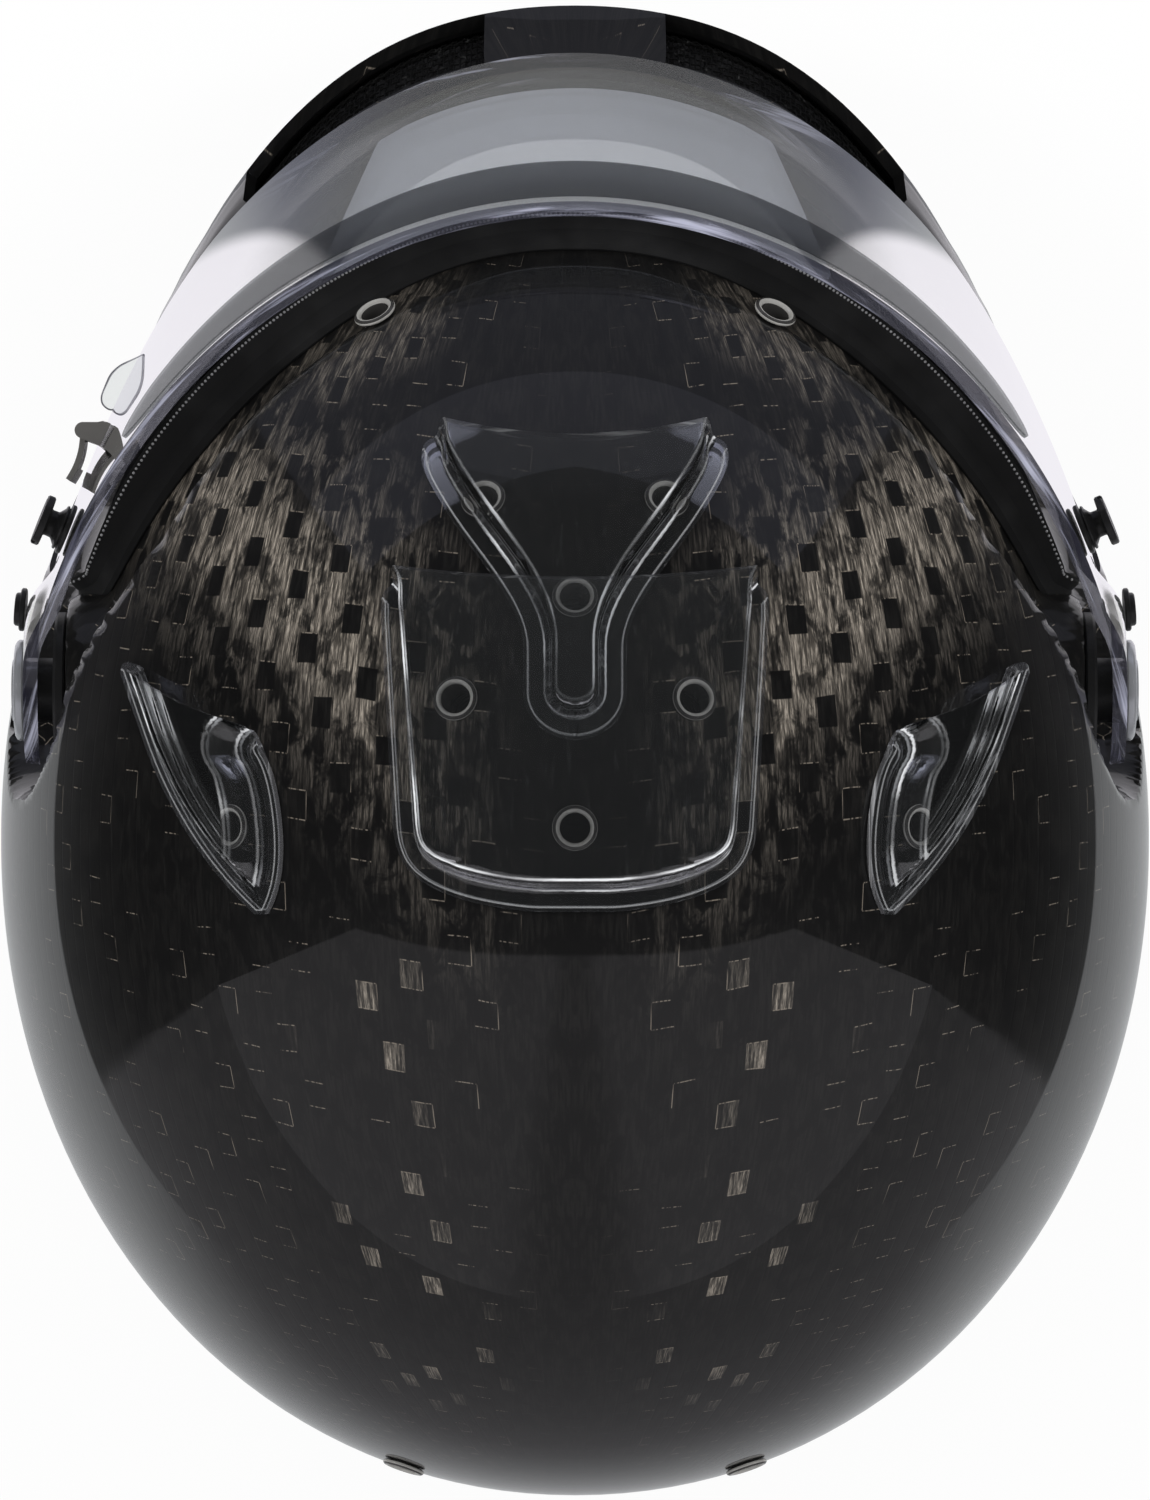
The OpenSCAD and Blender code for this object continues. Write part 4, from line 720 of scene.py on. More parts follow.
def painted_fold_highlights(name):
    """Clear moulding with painted highlights: thin light lines at the foot and the crest of its side wall."""
    f = Finish(name)
    body, marks = clear_body(f, (0.965, 0.97, 0.975), (0.5, 0.52, 0.54), 0.010, 0.3)
    edge = f.node("ShaderNodeAttribute", {"attribute_name": "edge_distance"}).part("Fac")
    patches = f.noise(f.place(), 42.0, 2.0)
    grit = f.noise(f.place(), 800.0, 3.0, 0.7)
    # the foot and crest lines and the faint line near the glued edge are painted highlights
    foot = (edge + (grit - 0.5) * 0.4).ridge(4.3, 0.28) * (patches.step(0.46, 0.62) * 0.75 + 0.12)
    crest = (edge + (grit - 0.5) * 0.2).ridge(6.9, 0.32) * (patches.step(0.44, 0.62) * 0.80 + 0.07)
    outer = edge.ridge(0.9, 0.25) * 0.20
    fresnel = f.node("ShaderNodeFresnel", None, {"IOR": CLEAR_IOR})
    mirror = f.surface(Base_Color=(1.0, 1.0, 1.0), Metallic=1.0, Roughness=marks * 0.05 + 0.03)
    bright = f.surface(Base_Color=(0.93, 0.945, 0.97), Roughness=0.3)
    clear = f.layered((fresnel * 1.6).clamped(), body, mirror)
    return f.done(f.layered(foot.most(crest).most(outer).clamped(), clear, bright))

def rim_finish(name, dark, bright, share):
    """A cut plastic rim: painted highlights, long streaks of bluish light along it, over a darker body,
    partly see-through. The streaks follow the screen's own ellipse: they vary fast across it and slowly round
    it."""
    f = Finish(name)
    split = f.node("ShaderNodeSeparateXYZ", None, {0: f.place()})
    x, y, z = split / 0.121, (split.part("Y") - 0.020) / 0.137, split.part("Z")
    across = (x * x + y * y).sqrt() * 70.0 + z * 150.0
    round_way = f.node("ShaderNodeCombineXYZ", None, {0: across, 1: x * 3.0, 2: y * 3.0})
    # the streaks are painted highlights: the rim's bluish light is put into its colour
    painted_streaks = f.noise(round_way, 1.0, 3.0, 0.6).step(0.50, 0.70)
    see = f.node("ShaderNodeBsdfTransparent", None, {"Color": (0.80, 0.80, 0.86)})
    polish = f.noise(f.place(), 300.0) * 0.08 + 0.12
    painted_sheen = f.surface(Base_Color=f.blend(painted_streaks, dark, bright), Roughness=polish, Coat_Weight=1.0,
                     Coat_Roughness=0.03)
    return f.done(f.layered((painted_streaks * 0.35 + share).clamped(), see, painted_sheen))

# %% [markdown]
# ## Rubber, moulded black, metals
# Rubber is matt with a faint bloom and fine pores. The posts, screws and pivot plates are moulded from
# black nylon with a satin skin. Metals are turned or drawn, so their fine lines run round or along the
# part. One plain colour each would do from far off; the small changes of polish tell them apart close by.

# %% Solid finishes
def rubber_finish(name="rubber", colour=(0.0085, 0.0085, 0.0088)):
    """Matt black, paler where it blooms, with fine pores as a bump."""
    f = Finish(name)
    where = f.place()
    bloom = f.noise(where, 45.0, 3.0, 0.6)
    pores = f.noise(where, 1400.0, 2.0)
    return f.done(f.surface(
        Base_Color=f.blend(bloom.step(0.35, 0.8), colour, tuple(c * 2.2 for c in colour)),
        Roughness=0.50 + bloom * 0.2, Specular_IOR_Level=0.22,
        Normal=f.bump(pores, 0.12, 0.0003)))

def moulded_finish(name, colour, rough=0.38):
    """A fine cell grain as a bump, and worn patches, paler and rougher."""
    f = Finish(name)
    where = f.place()
    grain = f.cells(where, 1600.0)
    wear = f.noise(where, 220.0, 4.0, 0.7).step(0.58, 0.75)
    return f.done(f.surface(
        Base_Color=f.blend(wear * 0.5, colour, tuple(min(1.0, c * 2.4 + 0.01) for c in colour)),
        Roughness=wear * 0.12 + rough, Specular_IOR_Level=0.5,
        Normal=f.bump(grain, 0.10, 0.0003)))

def metal_finish(name, colour, rough=0.22, grain=(1.0, 1.0, 60.0), scratch=0.25, metal=1.0):
    """Bright metal; a share below 1 keeps some of the soft shine that a brushed or tarnished skin has."""
    f = Finish(name)
    where = f.place(scale=grain)
    lines = f.noise(where, 240.0, 3.0, 0.6)
    stain = f.noise(f.place(), 90.0, 3.0).step(0.4, 0.8)
    return f.done(f.surface(
        Base_Color=f.blend(stain * 0.4, colour, tuple(c * 0.62 for c in colour)), Metallic=metal,
        Roughness=lines * scratch * 0.5 + rough, Normal=f.bump(lines, 0.08, 0.0002)))

def foam_finish():
    """Moulded bead foam: rounded beads about three millimetres across, pressed together."""
    f = Finish("bead_foam")
    beads = f.cells(f.place(), 330.0, "F1", 0.9)
    seams = f.cells(f.place(), 330.0, "DISTANCE_TO_EDGE", 0.9)
    tone = f.node("ShaderNodeSeparateColor", None, {0: beads.part("Color")})
    colour = f.blend(tone, (0.020, 0.020, 0.022), (0.040, 0.040, 0.043))
    colour = f.blend(seams.step(0.0, 0.08), (0.010, 0.010, 0.011), colour)
    return f.done(f.surface(Base_Color=colour, Roughness=0.72, Specular_IOR_Level=0.3,
                            Normal=f.bump(seams.step(0.0, 0.25), 0.5, 0.0006)))

def knit_finish(name, colour, light):
    """Brushed knit: rows of small loops every millimetre, softened by fuzz."""
    f = Finish(name)
    where = f.place()
    split = f.node("ShaderNodeSeparateXYZ", None, {0: where})
    loop = ((split.part("Z") * 5200.0).sin() * (split + split.part("Y") * 5200.0).sin()) * 0.5 + 0.5
    fuzz = f.noise(where, 2600.0, 3.0, 0.7)
    fade = f.noise(where, 26.0, 3.0).step(0.35, 0.75)
    colour_now = f.blend((loop * 0.45 + fade * 0.35 + fuzz * 0.2).clamped(), colour, light)
    return f.done(f.surface(Base_Color=colour_now, Roughness=0.9, Specular_IOR_Level=0.15, Sheen_Weight=0.35,
                            Sheen_Roughness=0.5, Normal=f.bump(loop * 0.6 + fuzz * 0.4, 0.35, 0.0005)))

def webbing_finish():
    """Woven webbing: ribs across it, each with the slant of its warp; U runs along it and V across."""
    f = Finish("webbing")
    uv = f.node("ShaderNodeTexCoord").part("UV")
    split = f.node("ShaderNodeSeparateXYZ", None, {0: uv})
    u, v = split, split.part("Y")
    rib = ((u * 1.0 + (v * 18.0).fract() * 0.35) * 6.2832).sin() * 0.5 + 0.5
    warp = (v * 18.0 * 6.2832).sin() * 0.5 + 0.5
    fuzz = f.noise(f.place(), 1800.0, 3.0, 0.7)
    selvedge = (v - 0.5).abs().step(0.44, 0.47)
    tone = (rib * 0.5 + warp * 0.3 + fuzz * 0.2).clamped()
    colour = f.blend(tone, (0.006, 0.006, 0.0065), (0.028, 0.028, 0.030))
    colour = f.blend(selvedge * 0.6, colour, (0.012, 0.012, 0.013))
    return f.done(f.surface(Base_Color=colour, Roughness=0.62, Specular_IOR_Level=0.35, Sheen_Weight=0.2,
                            Normal=f.bump(rib * 0.7 + warp * 0.3, 0.5, 0.0005)))

def wire_finish():
    """Coated black wire with paler, rougher chips."""
    f = Finish("mesh_wire")
    where = f.place()
    chips = f.noise(where, 500.0, 3.0).step(0.6, 0.8)
    colour = f.blend(chips, (0.012, 0.012, 0.012), (0.10, 0.10, 0.10))
    return f.done(f.surface(Base_Color=colour, Metallic=0.6, Roughness=0.4 + chips * 0.2,
                            Normal=f.bump(f.noise(where, 900.0), 0.2, 0.0002)))

carbon = carbon_finish()
clear_screen = clear_finish("clear_screen", (0.985, 0.985, 0.980), (0.66, 0.66, 0.60), 0.085, 0.3, graze=0.8)
screen_rim = rim_finish("screen_rim", (0.022, 0.022, 0.036), (0.50, 0.51, 0.64), 0.50)
insert_sheet = clear_finish("insert_sheet", (0.95, 0.96, 0.98), (0.72, 0.76, 0.88), 0.42, 0.3, 0.05)
tint_film = clear_finish("tint_film", (0.54, 0.55, 0.55), (0.14, 0.14, 0.145), 0.04, 0.3, 0.05)
clear_scoop = painted_fold_highlights("clear_scoop")
scoop_rim = rim_finish("scoop_rim", (0.20, 0.20, 0.21), (0.92, 0.93, 0.95), 0.45)
clear_tab = clear_finish("clear_tab", (0.955, 0.965, 0.965), (0.70, 0.73, 0.73), 0.05, 0.8)
tab_rim = rim_finish("tab_rim", (0.015, 0.015, 0.016), (0.10, 0.11, 0.12), 0.60)
rubber = rubber_finish()
black_nylon = moulded_finish("black_nylon", (0.010, 0.010, 0.0105))
steel = metal_finish("steel", (0.30, 0.29, 0.28), 0.16, metal=0.6)
dark_ring = metal_finish("dark_ring", (0.085, 0.082, 0.080), 0.15, (1.0, 1.0, 1.0), 0.15, metal=0.6)
# a paler copy of the eyelets' metal, for the painted glint on their rolls
ring_glint = metal_finish("ring_glint", (0.46, 0.45, 0.43), 0.15, (1.0, 1.0, 1.0), 0.15, metal=0.35)
screw_metal = metal_finish("screw_metal", (0.42, 0.43, 0.46), 0.18, metal=0.6)
zinc = metal_finish("zinc", (0.66, 0.66, 0.68), 0.25, metal=0.7)
# pale grey pips on the black seal: a painted highlight, so that each pip shows as a bright dot
pip_glint = moulded_finish("pip_glint", (0.26, 0.26, 0.27), 0.6)
bead_foam = foam_finish()
pad_knit = knit_finish("pad_knit", (0.010, 0.010, 0.012), (0.040, 0.040, 0.046))
webbing = webbing_finish()
mesh_wire = wire_finish()
print(len(bpy.data.materials), "finishes")

# %% [markdown]
# ## Camera and light
# The helmet is seen from straight above, two metres over its widest level, with the face at the top. The
# floor and the sky are white to the camera. A plain soft world and two lamps light the laminate. The
# polished coat mirrors a dark studio with two dim panels, one behind and one in front, whose edges show
# in it. A ready-made studio could light it as well, but plain panels can be put just where their edges
# should show.

# %% Camera, floor and light
FAR = 2000.0
CAMERA_Z = 110.0 + FAR
FRAME_HEIGHT = 1500 * 0.2221
SENSOR = 24.0

camera_data = bpy.data.cameras.new("camera")
camera_data.sensor_fit = "VERTICAL"
camera_data.sensor_height = SENSOR
camera_data.lens = SENSOR * FAR / FRAME_HEIGHT
camera_data.clip_end = 20.0
camera = bpy.data.objects.new("camera", camera_data)
camera.location = (0.0, 0.0, CAMERA_Z / 1000)
camera.rotation_euler = (0.0, 0.0, math.pi)
bpy.context.scene.collection.objects.link(camera)
bpy.context.scene.camera = camera
bpy.context.scene.view_settings.view_transform = "Standard"

CHARCOAL, SLATE, DARK = (0.38, 0.372, 0.39), (0.30, 0.31, 0.38), (0.008, 0.008, 0.008)

def floor_finish():
    """White to the eye and through glass, with a soft shadow left in. In mirrors the sheet of pale card
    that the helmet stands on is bright beside it, brightest beside the face, and left out under it as a
    painted shadow. Beyond it the floor goes on as the studio's walls do, charcoal behind, bluish in front and
    dark at the sides."""
    f = Finish("floor")
    path = f.node("ShaderNodeLightPath")
    split = f.node("ShaderNodeSeparateXYZ", None, {0: f.place()})
    x, y = split.abs(), split.part("Y")
    behind = (y - 0.05 - x * 0.3).step(0.0, 0.02)
    ahead = (0.0 - y * 1.04 - x).step(0.0, 0.02)
    # painted shadow: the mirrored card is left out in an ellipse under the helmet
    under = ((x / 0.112) * (x / 0.112) + (y / 0.150) * (y / 0.150)).step(0.9, 1.3)
    sheet = 1.0 - x.step(0.286, 0.292)
    card = sheet * (y + x * 0.6).step(-0.12, -0.04) * (1.0 - y.step(0.14, 0.34)) * under
    window = sheet * x.step(0.103, 0.108) * y.step(-0.32, -0.26) * (1.0 - y.step(-0.05, -0.02))
    paint = f.surface(Base_Color=(0.86, 0.86, 0.86), Roughness=0.9, Specular_IOR_Level=0.1)
    beyond = f.layered(behind, f.glowing(DARK), f.glowing(tuple(c * 0.55 for c in CHARCOAL)))
    beyond = f.layered(ahead, beyond, f.glowing(tuple(c * 0.45 for c in SLATE)))
    mirrored = f.layered(card, beyond, f.glowing((0.52, 0.53, 0.54)))
    mirrored = f.layered(window, mirrored, f.glowing((0.88, 0.86, 0.91)))
    seen = path.most(path.part("Is Transmission Ray"))
    lit = f.layered(seen * 0.93, paint, f.glowing((1.0, 1.0, 1.0)))
    return f.done(f.layered(path.part("Is Glossy Ray"), lit, mirrored))

floor_mesh = bpy.data.meshes.new("floor")
FLOOR_REACH, FLOOR_Z = 6.0, -0.002
corners = [(x * FLOOR_REACH, y * FLOOR_REACH, FLOOR_Z) for x, y in ((-1, -1), (1, -1), (1, 1), (-1, 1))]
floor_mesh.from_pydata(corners, [], [(0, 1, 2, 3)])
floor = bpy.data.objects.new("floor", floor_mesh)
floor_mesh.materials.append(floor_finish())
bpy.context.scene.collection.objects.link(floor)

def sky():
    """The studio: white to the eye, an even soft light on matt things, and dark in mirrors but for a charcoal
    panel behind and a fainter, bluish one in front."""
    world = bpy.data.worlds.new("studio")
    f = Finish("studio", world)
    split = f.node("ShaderNodeSeparateXYZ", None, {0: f.node("ShaderNodeTexCoord").part("Generated")})
    up = split.part("Z").most(0.001)
    over_x, over_y = (split / up).abs(), split.part("Y") / up
    rear = (over_y - 0.42 - (over_x - 1.5).most(0.0) * 0.3).step(0.0, 0.02)
    rear = rear * ((over_x / over_y.most(0.05)).step(0.06, 0.26) * 0.5 + 0.5)
    ahead = (0.0 - over_y * 1.04 - over_x).step(0.0, 0.05)
    front = (0.0 - over_y - 3.1 + over_x * 0.43).step(0.0, 0.05) * ahead
    path = f.node("ShaderNodeLightPath")

    def light(colour):
        return f.node("ShaderNodeBackground", None, {"Color": colour, "Strength": 1.0})

    mirrored = f.layered(front, f.layered(rear, light(DARK), light(CHARCOAL)), light(SLATE))
    soft = f.layered(path, light((0.80, 0.80, 0.80)), light((1.0, 1.0, 1.0)))
    f.done(f.layered(path.part("Is Glossy Ray"), soft, mirrored), "ShaderNodeOutputWorld")
    bpy.context.scene.world = world

sky()

def soft_lamp(name, at, towards, size, watts, colour=(1.0, 1.0, 1.0)):
    """A soft panel that lights the laminate but does not show as a shape in the clear coat."""
    data = bpy.data.lights.new(name, "AREA")
    data.shape = "RECTANGLE"
    data.size, data.size_y = size
    data.energy = watts
    data.color = colour
    obj = bpy.data.objects.new(name, data)
    obj.location = at
    obj.rotation_euler = (Vector(towards) - Vector(at)).to_track_quat("-Z", "Y").to_euler()
    obj.visible_glossy = False
    bpy.context.scene.collection.objects.link(obj)
    return obj

for side, s in (("left", 1), ("right", -1)):
    soft_lamp(f"{side}_strip", (s * 1.25, -0.35, 1.35), (0.0, 0.0, 0.15), (0.25, 1.3), 12.0)
print("camera lens", round(camera_data.lens, 1))

# %% [markdown]
# ## Shell
# One moulded skin with the eyeport, twelve vent holes and two chin slots. Its grid follows the eyeport's
# edges, so that the opening's outline is smooth, and the round holes are cut afterwards. The eyeport
# could be cut by a boolean too, but an edge that lies on grid lines stays clean in the gloss.

# %% Shell
TRIM_FLOOR, GAP = 2.0, 0.3
LOW_ROWS, LIP_ROWS, BAND_ROWS, DOME_ROWS = 28, 2, 56, 46

# columns stand closest beside the recess, whose edge crosses the grid at a slant
FACE_STEP, SIDE_STEP, REAR_STEP = 1.5, 0.5, 2.3
half_plan = np.concatenate([
    np.arange(0, 51, FACE_STEP), np.arange(51, 111, SIDE_STEP), np.arange(111, 179.9, REAR_STEP)])
plan = np.concatenate([half_plan, [180.0], -half_plan[:0:-1]])
port_low_z, port_high_z = port_edge(plan, -1), port_edge(plan, 1)

def rows_between(low, high, count):
    """Height shares of evenly spaced rows from one height up to just under the next."""
    return [height_share(mix(low, high, i / count)) for i in range(count)]

share_rows = rows_between(TRIM_FLOOR + GAP, port_low_z - PORT_LIP, LOW_ROWS)
share_rows += rows_between(port_low_z - PORT_LIP, port_low_z, LIP_ROWS)
share_rows += rows_between(port_low_z, port_high_z, BAND_ROWS)
share_rows += rows_between(port_high_z, port_high_z + PORT_LIP, LIP_ROWS)
brow_share = height_share(port_high_z + PORT_LIP)
share_rows += [mix(brow_share, 1.0, (i / DOME_ROWS) ** 1.6) for i in range(DOME_ROWS + 1)]
shares = np.array(share_rows)
row_number = np.arange(len(shares) - 1)[:, None]
next_plan = np.where(plan == 180, 180 + REAR_STEP, np.roll(plan, -1))
cell_turn = np.abs((plan + next_plan) / 2)[None, :]
band_from = LOW_ROWS + LIP_ROWS
open_port = (row_number >= band_from) & (row_number < band_from + BAND_ROWS) & (cell_turn < PORT_END)
VENT_FROM, VENT_TO, VENT_ROW, VENT_ROWS = 9.0, 36.0, 20, 4
open_vent = (row_number >= VENT_ROW) & (row_number < VENT_ROW + VENT_ROWS)
open_vent = open_vent & (cell_turn > VENT_FROM) & (cell_turn < VENT_TO)

TOP_VENTS = {
    "brow": [(-42.5, -93.0), (42.5, -93.0)],
    "front_scoop": [(-19.0, -52.0), (19.0, -52.0), (0.0, -31.5)],
    "rear_scoop": [(-24.5, -10.5), (24.5, -10.5), (0.0, 16.0)],
    "side_scoop": [(-71.5, 16.0), (71.5, 16.0)],
    "exhaust": [(-37.5, 157.0), (37.5, 157.0)],
}

def drill(radius, deep, high, sides=48):
    """A closed cutter along +Z from -deep to high."""
    return turned([(0.0, -deep), (radius, -deep), (radius, high), (0.0, high)], sides)

INSERT_SPOT, ANCHOR_SPOT = (55.0, 62.0), (0.0, 45.0)
VENT_R, INSERT_R, ANCHOR_R, LINER_VENT_R, LINER_INSERT_R = 3.8, 5.1, 2.6, 4.6, 8.0

def vent_drills(radius, deep, high, sides=48):
    """A cutter for each of the twelve vents, square to the dome."""
    places = [place for group in TOP_VENTS.values() for place in group]
    return [placed(drill(radius, deep, high, sides), dome_point(x, y), dome_normal(x, y)) for x, y in places]

def side_drills(spot, radius, deep, high, sides=48):
    """A cutter on each side at a place in Y and Z, along X."""
    tool = drill(radius, deep, high, sides)
    return [placed(tool, (s * side_x(*spot), *spot), (s, 0.0, 0.0)) for s in (-1, 1)]

kept_cells = ~(open_port | open_vent)
shell_shape = thick_sheet(skin(plan, shares, 0.0), skin(plan, shares, SHELL_T), kept_cells, wrap=True)
shell = add_piece("shell_skin", shell_shape, [carbon, carbon], "shell", ["outer_shell"], sharp=50)
cut(shell, vent_drills(VENT_R, 9.0, 6.0) + side_drills(INSERT_SPOT, INSERT_R, 12.0, 20.0)
    + side_drills(ANCHOR_SPOT, ANCHOR_R, 12.0, 20.0))

# %% [markdown]
# ## Visor
# A thick clear screen, cut to its outline with a rounded edge, with two round arms. The arms carry the
# pivot holes. The rims carry painted bluish highlights. A flat sheet could be bent by a modifier; an ellipse
# that changes with height is chosen because it gives both faces, the edge and the arms at once.

# %% Visor
VISOR_COLS, VISOR_ROWS = 180, 26

def visor_angles(count):
    """Plan angles over the visor, which stand closer towards both ends by a power."""
    u = np.linspace(-1, 1, count + 1)
    return np.sign(u) * VISOR_END * (1 - (1 - np.abs(u)) ** 1.15)

def arm_half(a):
    """Half height of the arm's round end: the arc of an ellipse over the plan angle."""
    return ARM_R * np.sqrt(np.maximum(0, 1 - ((np.abs(a) - ARM_A) / (VISOR_END + 0.3 - ARM_A)) ** 2))

def visor_top_at(a):
    """Upper edge of the visor, with its round end."""
    return np.where(np.abs(a) > ARM_A, PIVOT[2] + arm_half(a), visor_high(a))

def visor_low_at(a):
    """Lower edge of the visor, with its round end."""
    return np.where(np.abs(a) > ARM_A, PIVOT[2] - arm_half(a), visor_low(a))

angles = visor_angles(VISOR_COLS)[None, :]
rises = np.linspace(0, 1, VISOR_ROWS + 1)[:, None]
heights = mix(visor_low_at(angles), visor_top_at(angles), rises)
screen_shape = thick_sheet(visor_point(angles, heights), visor_point(angles, heights, VISOR_T))
screen = add_piece("visor_screen", screen_shape, [clear_screen, screen_rim], "visor", ["visor"],
                   sharp=50)
PIVOT_HOLE_R = 7.1
cut(screen, [at_pivot(drill(PIVOT_HOLE_R, 8.0, 6.0, 64), s, ARM_X) for s in (-1, 1)])
soften(screen, 0.7, 2, 50)

# %% [markdown]
# The anti-fog insert is a second thin screen that a soft bead holds off the visor. The sun strip is a
# film on the visor's upper edge with rounded ends. Both could be copies of the screen cut smaller; they
# are drawn from the screen's formula at a depth of their own, so that they lie along it everywhere.

# %% Insert and sun strip
INSERT_LOW, INSERT_HIGH, INSERT_LOW_A, INSERT_HIGH_A, INSERT_T = 97.0, 181.0, 21.0, 28.0, 1.3
rises = np.linspace(0, 1, 41)[:, None]
# the half angle grows from the chin to the brow and draws in round each corner, over 0.07 of the height
CORNER_FROM, CORNER_SQUARED, CORNER_IN = 0.93, 0.0049, 3.0
past_corner = np.maximum(0, np.abs(2 * rises - 1) - CORNER_FROM) ** 2 / CORNER_SQUARED
half = mix(INSERT_LOW_A, INSERT_HIGH_A, rises) - CORNER_IN * (1 - np.sqrt(np.maximum(0, 1 - past_corner)))
spread = np.linspace(-1, 1, 61)[None, :] * half
insert_z = mix(INSERT_LOW, INSERT_HIGH, rises)
insert_shape = thick_sheet(visor_point(spread, insert_z, VISOR_T + GAP),
                           visor_point(spread, insert_z, VISOR_T + GAP + INSERT_T))
add_piece("fog_insert", insert_shape, [insert_sheet, insert_sheet], "visor", ["anti_fog_insert"],
          sharp=50)

def along(points, closed=True):
    """Unit tangent at every point of a path."""
    if closed:
        return unit(np.roll(points, -1, axis=0) - np.roll(points, 1, axis=0))
    return unit(np.gradient(points, axis=0))

def section_rings(path, out, profile, closed=True):
    """A section carried along a path; out is the direction of its second coordinate at each point."""
    tangent = along(path, closed)
    out = unit(out - np.sum(out * tangent, axis=1, keepdims=True) * tangent)
    side = np.cross(tangent, out)
    profile = np.asarray(profile, float)
    if profile.ndim == 2:
        profile = np.repeat(profile[None], len(path), axis=0)
    return path[:, None] + profile[..., :1] * side[:, None] + profile[..., 1:] * out[:, None]

def round_section(radius, sides=10):
    """A circle: radius times the cosine and the sine of even angles."""
    angle = np.linspace(0, 2 * np.pi, sides, endpoint=False)
    return np.stack([radius * np.cos(angle), radius * np.sin(angle)], axis=1)

depth = VISOR_T + GAP + INSERT_T + 0.2
edge_a, edge_z = half[1:-1, 0], insert_z[1:-1, 0]
outline = np.concatenate([
    visor_point(spread[0], INSERT_LOW, depth), visor_point(edge_a, edge_z, depth),
    visor_point(spread[-1][::-1], INSERT_HIGH, depth), visor_point(-edge_a[::-1], edge_z[::-1], depth)])
bead_out = np.tile([0.0, -1.0, 0.3], (len(outline), 1))
bead = swept(section_rings(outline, bead_out, round_section(0.45, 8)), closed=True)
add_piece("insert_bead", bead, [rubber], "visor", [], sharp=0)

STRIP_DROP, STRIP_H, STRIP_END = 3.0, 24.0, 53.0
u = np.linspace(-1, 1, 161)[None, :]
strip_a = STRIP_END * np.sign(u) * (1 - (1 - np.abs(u)) ** 1.3)
strip_high = STRIP_H * mix(1.0, 0.5, (np.abs(strip_a) / VISOR_END) ** 3)
round_end = np.sqrt(np.maximum(0.0004, 1 - np.maximum(0, (np.abs(strip_a) - (STRIP_END - 5.5)) / 5.5) ** 2))
strip_mid = visor_top_at(strip_a) - STRIP_DROP - strip_high / 2
strip_z = strip_mid + np.linspace(-0.5, 0.5, 13)[:, None] * strip_high * round_end
strip_wide = np.broadcast_to(strip_a, strip_z.shape)
strip_shape = thick_sheet(visor_point(strip_wide, strip_z, -0.42), visor_point(strip_wide, strip_z, -0.12))
add_piece("sun_band", strip_shape, [tint_film, tint_film], "visor", ["sun_strip"], sharp=50)

# %% [markdown]
# ## Fittings on the visor
# The tab is a moulded clear plate to lift the visor by. The two spools hold tear-off films. The small
# black screws hold the arm's inner latch. Bevelled cylinders could stand for them, but the small steps of
# a turned profile are what catches light.

# %% Visor fittings
def flat_plate(outline, low, high, edge=0.25):
    """A plate of a plan outline between two heights with a small chamfer; faces are kind 0, walls kind 1."""
    outline = np.asarray(outline, float)
    centre = outline.mean(axis=0)
    inward = outline + unit(centre - outline) * edge
    rings = [(inward, low), (outline, low + edge), (outline, high - edge), (inward, high)]
    levels = np.stack([np.column_stack([ring, np.full(len(ring), z)]) for ring, z in rings])
    points, faces, kinds = swept(levels)
    sides = len(outline)
    rows = np.arange(len(faces)) // sides
    return points, faces, np.isin(rows, (1, 2, 3)).astype(int)

TAB_A = 52.5
tab_z = float(visor_low(TAB_A)) + 5.0
tab_corners = [(95.6, -88.6), (97.6, -87.6), (101.6, -85.8), (103.7, -83.8), (105.8, -78.8), (105.5, -76.8),
               (103.6, -75.4), (101.4, -76.2), (99.0, -80.5)]
tab_shape = flat_plate(rounded(tab_corners, 1.3, 4, closed=True), tab_z - 1.3, tab_z + 1.3, 0.35)
add_piece("finger_tab", tab_shape, [clear_tab, tab_rim], "visor", ["opening_tab"], sharp=35)

POST_Y, BUTTON_Y = PIVOT[1] - 34.7, PIVOT[1] - 17.5
post_profile = [
    (0, 0.3), (5.3, 0.3), (5.6, 0.6), (5.6, 1.2), (5.3, 1.45), (4.6, 1.5), (4.6, 1.7), (4.95, 1.85),
    (4.95, 2.2), (4.7, 2.4), (4.35, 2.4), (3.2, 3.3), (2.95, 3.6), (2.9, 4.9), (3.1, 5.2), (4.4, 5.3),
    (5.3, 5.3), (5.6, 5.6), (5.6, 6.8), (5.3, 7.1), (1.4, 7.1), (0, 6.7)]
posts = add_piece("film_posts", join([on_visor(turned(post_profile, 72), s, POST_Y) for s in (-1, 1)]),
                  [black_nylon], "visor", ["tear_off_posts"], sharp=28)

def prism(corners, low, high):
    """A straight bar of a plan outline between two heights."""
    return swept(np.stack([np.column_stack([corners, np.full(len(corners), z)]) for z in (low, high)]))

def bar(width, depth, low, high):
    """A square cutter along +Z, to mill a slot."""
    return prism(np.array([[-1, -1], [1, -1], [1, 1], [-1, 1]]) * [width / 2, depth / 2], low, high)

cut(posts, [on_visor(bar(14.0, 1.5, 6.2, 8.0), s, POST_Y, turn=20.0) for s in (-1, 1)])
button_profile = [
    (0, 0.3), (4.4, 0.3), (4.7, 0.6), (4.7, 1.3), (4.4, 1.55), (3.7, 1.6), (3.6, 2.4), (3.3, 2.7),
    (2.2, 2.7), (1.9, 2.1), (0, 2.1)]
add_piece("face_screws", join([on_visor(turned(button_profile, 48), s, BUTTON_Y) for s in (-1, 1)]),
          [black_nylon], "visor", ["visor_buttons"], sharp=28)

# %% [markdown]
# ## Eyeport seal
# A black rubber profile sits on the shell round the eyeport, wraps its cut edge and raises a lip against
# the visor. The lip is high at the brow and low under the chin. A row of tiny moulded pips runs along its
# crest. A curve with a bevel could carry a profile round, but its section couldn't change on the way as
# the lip's height does.

